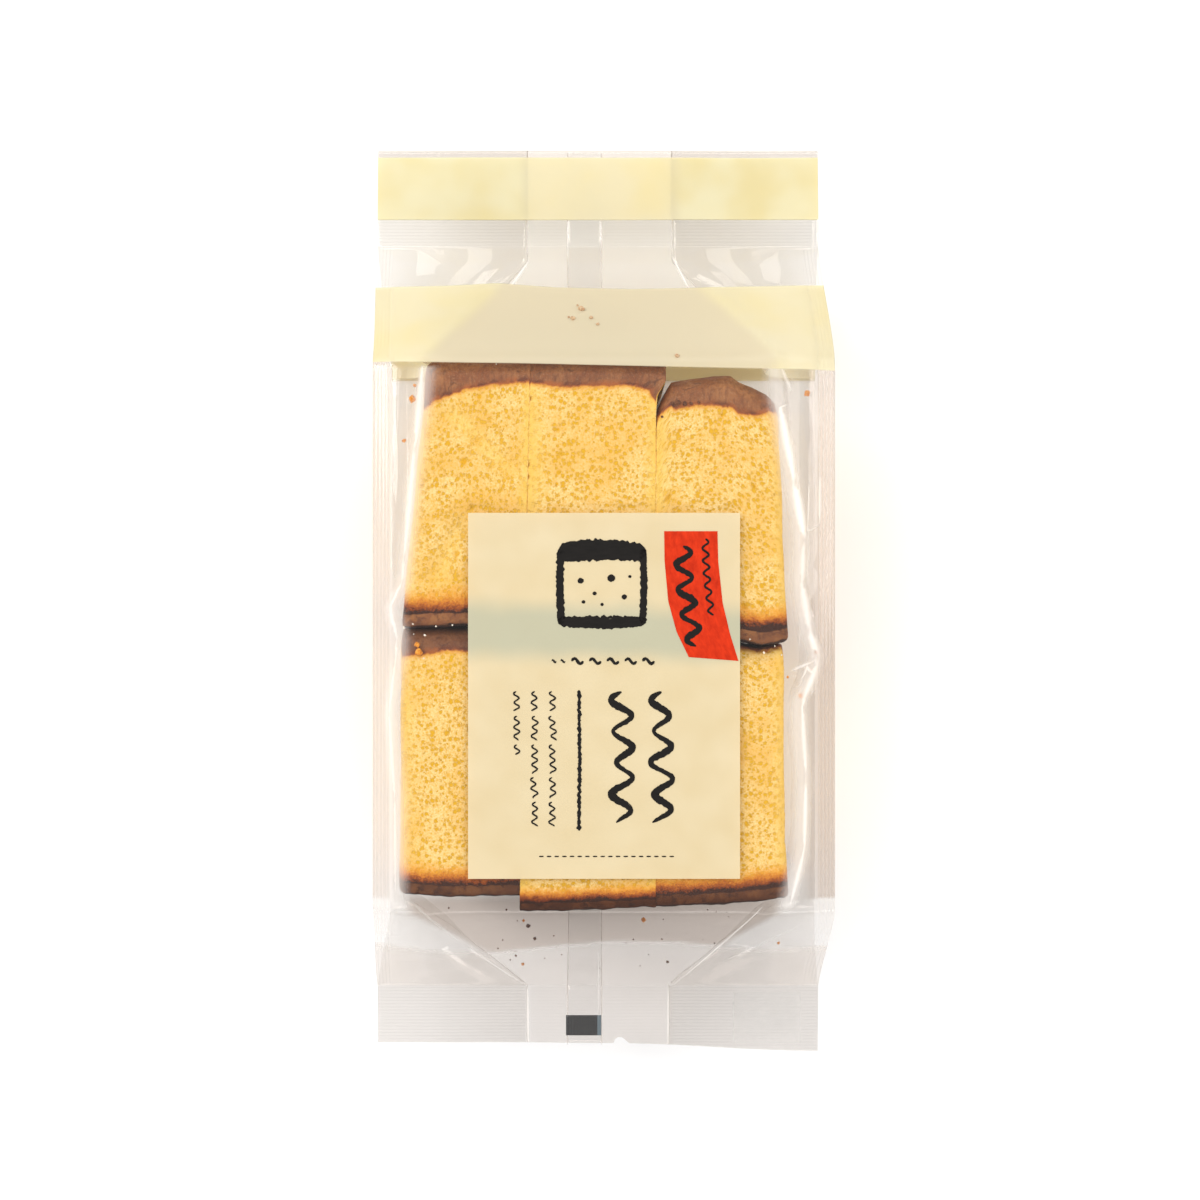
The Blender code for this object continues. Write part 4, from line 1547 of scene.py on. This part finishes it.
def drawStrokes():
    # plain wavy lines and dashes where the label has its rows of print
    x, top, bottom = printing["ruleAt"]
    strokes = [brushStroke([(x, top), (x + 0.15, mix(top, bottom, 0.5)), (x, bottom)], 0.85, 30, 0.45, 0.4)]
    swelling = [(0, 1.0), (0.1, 1.9), (0.3, 0.9), (0.45, 1.9), (0.6, 1.0), (0.8, 2.0), (1, 0.8)]
    for number, (x, top, bottom) in enumerate(printing["titleWaves"]):
        path = waveLine(x, top, bottom, 2.3, 7.8, 40 + number)
        strokes.append(brushStroke(path, swelling, 50 + number, 0.12, 1.6))
    for number, column in enumerate(printing["smallWaves"]):
        strokes += drawSmallWaves(number, *column)
    for number, (x, size, high) in enumerate(printing["rowWaves"]):
        path = [(x - size / 2 + t * size, printing["rowAt"] + high * 0.9 * math.sin(2 * math.pi * t))
                for t in np.linspace(0, 1, 12)]
        strokes.append(brushStroke(path, high, 90 + number, 0.15, 0.5))
    start, end, pitch, length = printing["dashes"]
    for number, x in enumerate(np.arange(start, end, pitch)):
        dash = [(x, printing["dashAt"]), (x + length, printing["dashAt"])]
        strokes.append(brushStroke(dash, 0.32, 120 + number, 0.05, 0.2))
    return strokes


def drawRibbonInk():
    # black brush waves down the red ribbon, bending with it
    swelling = [(0, 0.9), (0.15, 1.7), (0.35, 1.0), (0.5, 1.8), (0.75, 1.1), (0.9, 1.8), (1, 0.7)]
    strokes = []
    for x, top, bottom, step, bend, swing, pitch, width, seed, ragged, taper in (
        (20.4, 13.6, -11.6, 0.4, 0.0052, 1.9, 6.2, swelling, 140, 0.15, 1.0),
        (25.9, 15.4, -3.6, 0.35, 0.0045, 0.8, 3.1, 0.55, 141, 0.2, 0.5),
    ):
        path = [(x + bend * (top - y) ** 2 + swing * math.sin(2 * math.pi * (top - y) / pitch), y)
                for y in np.arange(top, bottom, -step)]
        strokes.append(brushStroke(path, width, seed, ragged, taper, printing["thick"] + 0.03))
    return strokes


def drawRibbon():
    # the ribbon itself: a flat field of red
    heights, lefts, rights = zip(*printing["ribbon"])
    ys = np.linspace(heights[0], heights[-1], 40)
    left = np.stack([np.interp(ys, heights, lefts), ys], axis=1)
    right = np.stack([np.interp(ys, heights, rights), ys + 0.03 * (ys - ys[-1])], axis=1)
    return [(slab(left, right, labelTop(0.0), printing["thick"], 4), ys)]


def buildPrinting():
    black = inkMaterial("black offset ink", printing["black"], printing["dryBlack"], 0.35)
    red = inkMaterial("red offset ink", printing["red"], printing["dryRed"], 0.0)
    for name, strokes, ink in (
        ("print_slice", drawSlice(), black),
        ("print_strokes", drawStrokes(), black),
        ("print_ribbon_strokes", drawRibbonInk(), black),
        ("print_ribbon", drawRibbon(), red),
    ):
        strokesObject(name, strokes, ink)
    print("label printing made")


buildPrinting()


lap = {
    "left": -8.8, "right": 0.35,     # the lengthwise back seam, lapped and pressed flat
    "gap": 0.1, "thick": 0.03,
    "markX": (-9.1, 0.15), "markY": (-113.7, -108.3),
    "markLightFrom": -0.95,          # the mark's paler printed edge
    "mark": "#262b30", "markLines": "#454b52", "markLight": "#6f8593",
    "markPitch": 0.75,
    "patchX": (34.6, 52.1), "patchY": (-115.4, -101.9),
    "patchHaze": 0.17,
}


def overFront(x, y):
    return frontHeight(x, y) + 0.6


def underBack(extra):
    # just under the back film, along its whole length
    return lambda x, y: backHeight(y) - lap["gap"] - lap["thick"] - extra


def lapMaterial():
    # two thicknesses of film sealed together: as clear as one, but for its edges
    made, tree = newMaterial("heat-sealed film lap")
    add = partial(addNode, tree)
    across = add(attributeNode, out="Fac", attribute_name="across")
    middle = add(mathNode, (across, 0.5), operation="SUBTRACT")
    rim = add(mathNode, [middle], operation="ABSOLUTE")
    # its two edges show as fine pale lines
    haze = add(rangeNode, {0: rim, 1: 0.465, 2: 0.49, 4: 0.5}, **smoothStep)
    add("ShaderNodeOutputMaterial", [clearFilm(tree, haze, (1, 1, 1, 1))])
    return made


def eyeMarkMaterial():
    # flexographic ink on film: flat slate grey with one paler edge and fine press lines
    made, tree = newMaterial("slate flexographic ink")
    add = partial(addNode, tree)
    place = add("ShaderNodeTexCoord", out="Object")
    across = add("ShaderNodeSeparateXYZ", [place], "X")
    turns = add(mathNode, (across, 2 * math.pi / (lap["markPitch"] * mm)), operation="MULTIPLY")
    wave = add(mathNode, [turns], operation="SINE")
    lines = add(rangeNode, {0: wave, 1: -1.0, 2: 1.0, 4: 0.35})
    edge = lap["markLightFrom"] * mm
    pale = add(rangeNode, (across, edge, edge + 0.1 * mm))
    coats = [(lines, srgb(lap["markLines"])), (pale, srgb(lap["markLight"]))]
    ink = layered(tree, srgb(lap["mark"]), coats)
    shader = add(principledNode, {"Base Color": ink, "Roughness": 0.5})
    add("ShaderNodeOutputMaterial", [shader])
    return made


def patchMaterial():
    # frosted lacquer patch for a stamped date: a thin uneven milky coat
    made, tree = newMaterial("frosted lacquer")
    add = partial(addNode, tree)
    place = add("ShaderNodeTexCoord", out="Object")
    cloudy = add(noiseNode, {"Vector": place, "Scale": 1 / (3 * mm), "Detail": 4.0})
    thin, full = lap["patchHaze"] * 0.7, lap["patchHaze"]
    haze = add(rangeNode, (cloudy, 0.3, 0.7, thin, full))
    add("ShaderNodeOutputMaterial", [clearFilm(tree, haze, (1, 1, 1, 1))])
    return made


def buildBackSeam():
    ys = np.linspace(-pack["length"] / 2 + 1.6, pack["length"] / 2 - 0.4, 150)
    edges = [np.stack([np.full_like(ys, lap[side]), ys], axis=1) for side in ("left", "right")]
    points, faces, across = slab(*edges, underBack(0.0), lap["thick"], 8)
    seam = meshObject("back_seam", points, faces, lapMaterial(), values={"across": across})

    ys = np.linspace(*lap["markY"], 8)
    edges = [np.stack([np.full_like(ys, x), ys], axis=1) for x in lap["markX"]]
    points, faces, _ = slab(*edges, underBack(-lap["thick"] - 0.01), 0.03, 8)
    mark = meshObject("eye_mark", points, faces, eyeMarkMaterial(), smooth=False)

    ys = np.linspace(*lap["patchY"], 40)
    rough = np.array([[noise.noise(Vector((y * 0.9, side, 1.0))) * 0.5 for y in ys] for side in (1.0, 7.0)])
    edges = [np.stack([x + rough[i], ys], axis=1) for i, x in enumerate(lap["patchX"])]
    points, faces, _ = slab(*edges, overFront, 0.05, 16)
    patch = meshObject("date_patch", points, faces, patchMaterial(), smooth=False)
    for made in (seam, mark, patch):
        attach(made, "root")
    print("back seam, eye mark and date patch made")


buildBackSeam()


# loose crumbs: places across and along the bag, height, and size; then a finer dust round the slices
crumbs = {
    "golden": [
        (-46.8, 50.2, 61.4, 1.7), (-46.2, 53.5, 61.4, 0.8), (-48.9, 39.8, 61.0, 0.9),
        (51.3, 51.5, 61.4, 1.4), (-45.6, -10.9, 61.6, 1.3), (-45.2, -12.7, 61.6, 1.7),
        (49.6, -23.5, 61.4, 1.1), (52.2, -17.2, 61.2, 0.6), (46.4, -18.9, 61.6, 0.6),
        (53.5, -12.7, 61.2, 0.8), (11.0, -81.8, 40.0, 1.2), (-19.8, -82.0, 40.0, 0.7),
        (-20.3, -94.5, 30.5, 0.8), (46.0, -88.5, 34.0, 0.7),
    ],
    "dark": [
        (-19.6, -88.0, 3.0, 1.1), (-17.8, -91.2, 5.0, 0.9), (-19.5, -79.6, 2.0, 0.7),
        (2.0, -82.5, 2.0, 0.6), (17.6, -95.4, 20.0, 0.8), (-22.5, -94.0, 18.0, 0.6),
        (-25.5, -83.5, 4.0, 0.5), (-41.0, -82.8, 6.0, 0.5),
        (17.9, 49.0, 61.0, 0.8), (19.3, 49.3, 61.1, 1.0), (20.9, 49.0, 61.1, 1.1), (22.4, 49.1, 61.1, 0.8),
        (24.3, 49.4, 61.1, 0.6), (15.2, 45.8, 61.0, 0.6),
    ],
    # these cling behind the printed band and show pale through it
    "veiled": [
        (-4.9, 73.9, 0.1, 1.5), (-7.0, 71.2, 0.1, 1.2), (-2.4, 71.4, 0.1, 0.9), (-0.8, 69.6, 0.1, 0.8),
        (-5.9, 74.9, 0.1, 0.6), (-8.1, 71.6, 0.1, 0.6), (18.9, 60.9, 0.1, 1.0),
    ],
    "dustCount": 46,
    "dustSize": (0.2, 0.42),
    # pale and deep colour, and roughness
    "looks": {
        "golden": ("#e9a13c", "#cf7c22", 0.8),
        "dark": ("#7a4a2c", "#4a2818", 0.75),
        "veiled": ("#d2b691", "#b9906d", 0.8),
        "sugar": ("#fdf7ea", "#f2e6cf", 0.25),
    },
    "sugar": [
        (-48.9, -6.6, 61.5, 0.5), (-46.6, -5.7, 61.7, 0.4), (-43.6, -8.5, 61.7, 0.55),
        (-40.9, -6.3, 61.7, 0.35), (-36.8, -6.0, 61.7, 0.45), (-46.4, -8.2, 61.7, 0.25),
        (-43.9, -14.2, 61.7, 0.35), (37.0, -9.5, 61.6, 0.35), (40.5, -12.8, 61.5, 0.5),
        (43.2, -11.2, 61.3, 0.3), (44.9, -13.4, 61.2, 0.35), (-26.0, 58.9, 60.4, 0.25),
    ],
}


def crumbTree(name, blocky):
    # stands one rough grain on every point of a mesh, each turned and sized by its own values
    tree, sizes = nodesTree(name, {
        "Roughness": ("NodeSocketFloat", 1.1),
        "Grain": ("NodeSocketFloat", 1.7),
        "Seed": ("NodeSocketInt", 4),
        "Material": ("NodeSocketMaterial", None),
    })
    given = sizes.outputs
    add = partial(addNode, tree)
    if blocky:
        grain = add("GeometryNodeMeshCube", {"Size": (1.0, 0.8, 0.7)})
    else:
        grain = add("GeometryNodeMeshIcoSphere", {"Radius": 0.5, "Subdivisions": 3})
    place = add("GeometryNodeInputPosition")
    bumps = add(noiseNode, {"Vector": place, "Scale": given["Grain"], "Detail": 3.0}, 1)
    centred = add(vectorNode, (bumps, (0.5, 0.5, 0.5)), operation="SUBTRACT")
    push = add(vectorNode, {0: centred, "Scale": given["Roughness"]}, operation="SCALE")
    rough = add("GeometryNodeSetPosition", {"Geometry": grain, "Offset": push})
    turn = add("FunctionNodeRandomValue", {
        "Min": (0, 0, 0), "Max": (6.28, 6.28, 6.28), "Seed": given["Seed"],
    }, data_type="FLOAT_VECTOR")
    size = add("GeometryNodeInputNamedAttribute", ["size"], data_type="FLOAT")
    cast = add("GeometryNodeInstanceOnPoints", {
        "Points": given["Geometry"], "Instance": rough, "Rotation": turn, "Scale": size,
    })
    closeTree(tree, cast, given["Material"])
    return tree


def crumbMaterial(name, pale, deep, roughness):
    # torn bits of sponge and crust, dry and matt; sugar grains are clear and bright
    made, tree = newMaterial(name)
    add = partial(addNode, tree)
    place = add("ShaderNodeTexCoord", out="Object")
    mottle = add(noiseNode, {"Vector": place, "Scale": 1 / (0.5 * mm), "Detail": 3.0})
    tone = layered(tree, srgb(pale), [(add(rangeNode, (mottle, 0.4, 0.6)), srgb(deep))])
    shader = add(principledNode, {"Base Color": tone, "Roughness": roughness})
    add("ShaderNodeOutputMaterial", [shader])
    return made


def scatter(name, places, tree, material, seed):
    places = np.array(places)
    made = meshObject(name, places[:, :3], [], None, values={"size": places[:, 3] * mm})
    growWith(made, tree, {"Seed": seed, "Material": material})
    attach(made, "root")


def scatterDust():
    # the finest crumbs lie on the back film below and above the slices
    rng = np.random.default_rng(7)
    dust = []
    while len(dust) < crumbs["dustCount"]:
        x, y = rng.uniform(-46, 46), rng.uniform(-97, -76) if rng.random() < 0.7 else rng.uniform(56, 74)
        if abs(x) < 40 + min(y + 78, 0) * 0.7:
            lowest = float(backHeight(np.array([y]))[0]) + 0.4
            dust.append((x, y, lowest, rng.uniform(*crumbs["dustSize"])))
    return dust


def buildCrumbs():
    loose, grains = crumbTree("loose crumbs", False), crumbTree("sugar grains", True)
    veiled = np.array(crumbs["veiled"])
    veiled[:, 2] += frontHeight(*veiled[:, :2].T) + frontLift(*veiled[:, :2].T)
    for name, look, material, places, tree, seed in (
        ("crumbs_golden", "golden", "toasted sponge crumbs", crumbs["golden"], loose, 3),
        ("crumbs_dark", "dark", "crust crumbs", crumbs["dark"] + scatterDust(), loose, 5),
        ("crumbs_behind_band", "veiled", "crumbs behind cream ink", veiled, loose, 8),
        ("sugar_grains", "sugar", "coarse sugar", crumbs["sugar"], grains, 9),
    ):
        scatter(name, places, tree, crumbMaterial(material, *crumbs["looks"][look]), seed)
    print("crumbs and sugar made")


buildCrumbs()
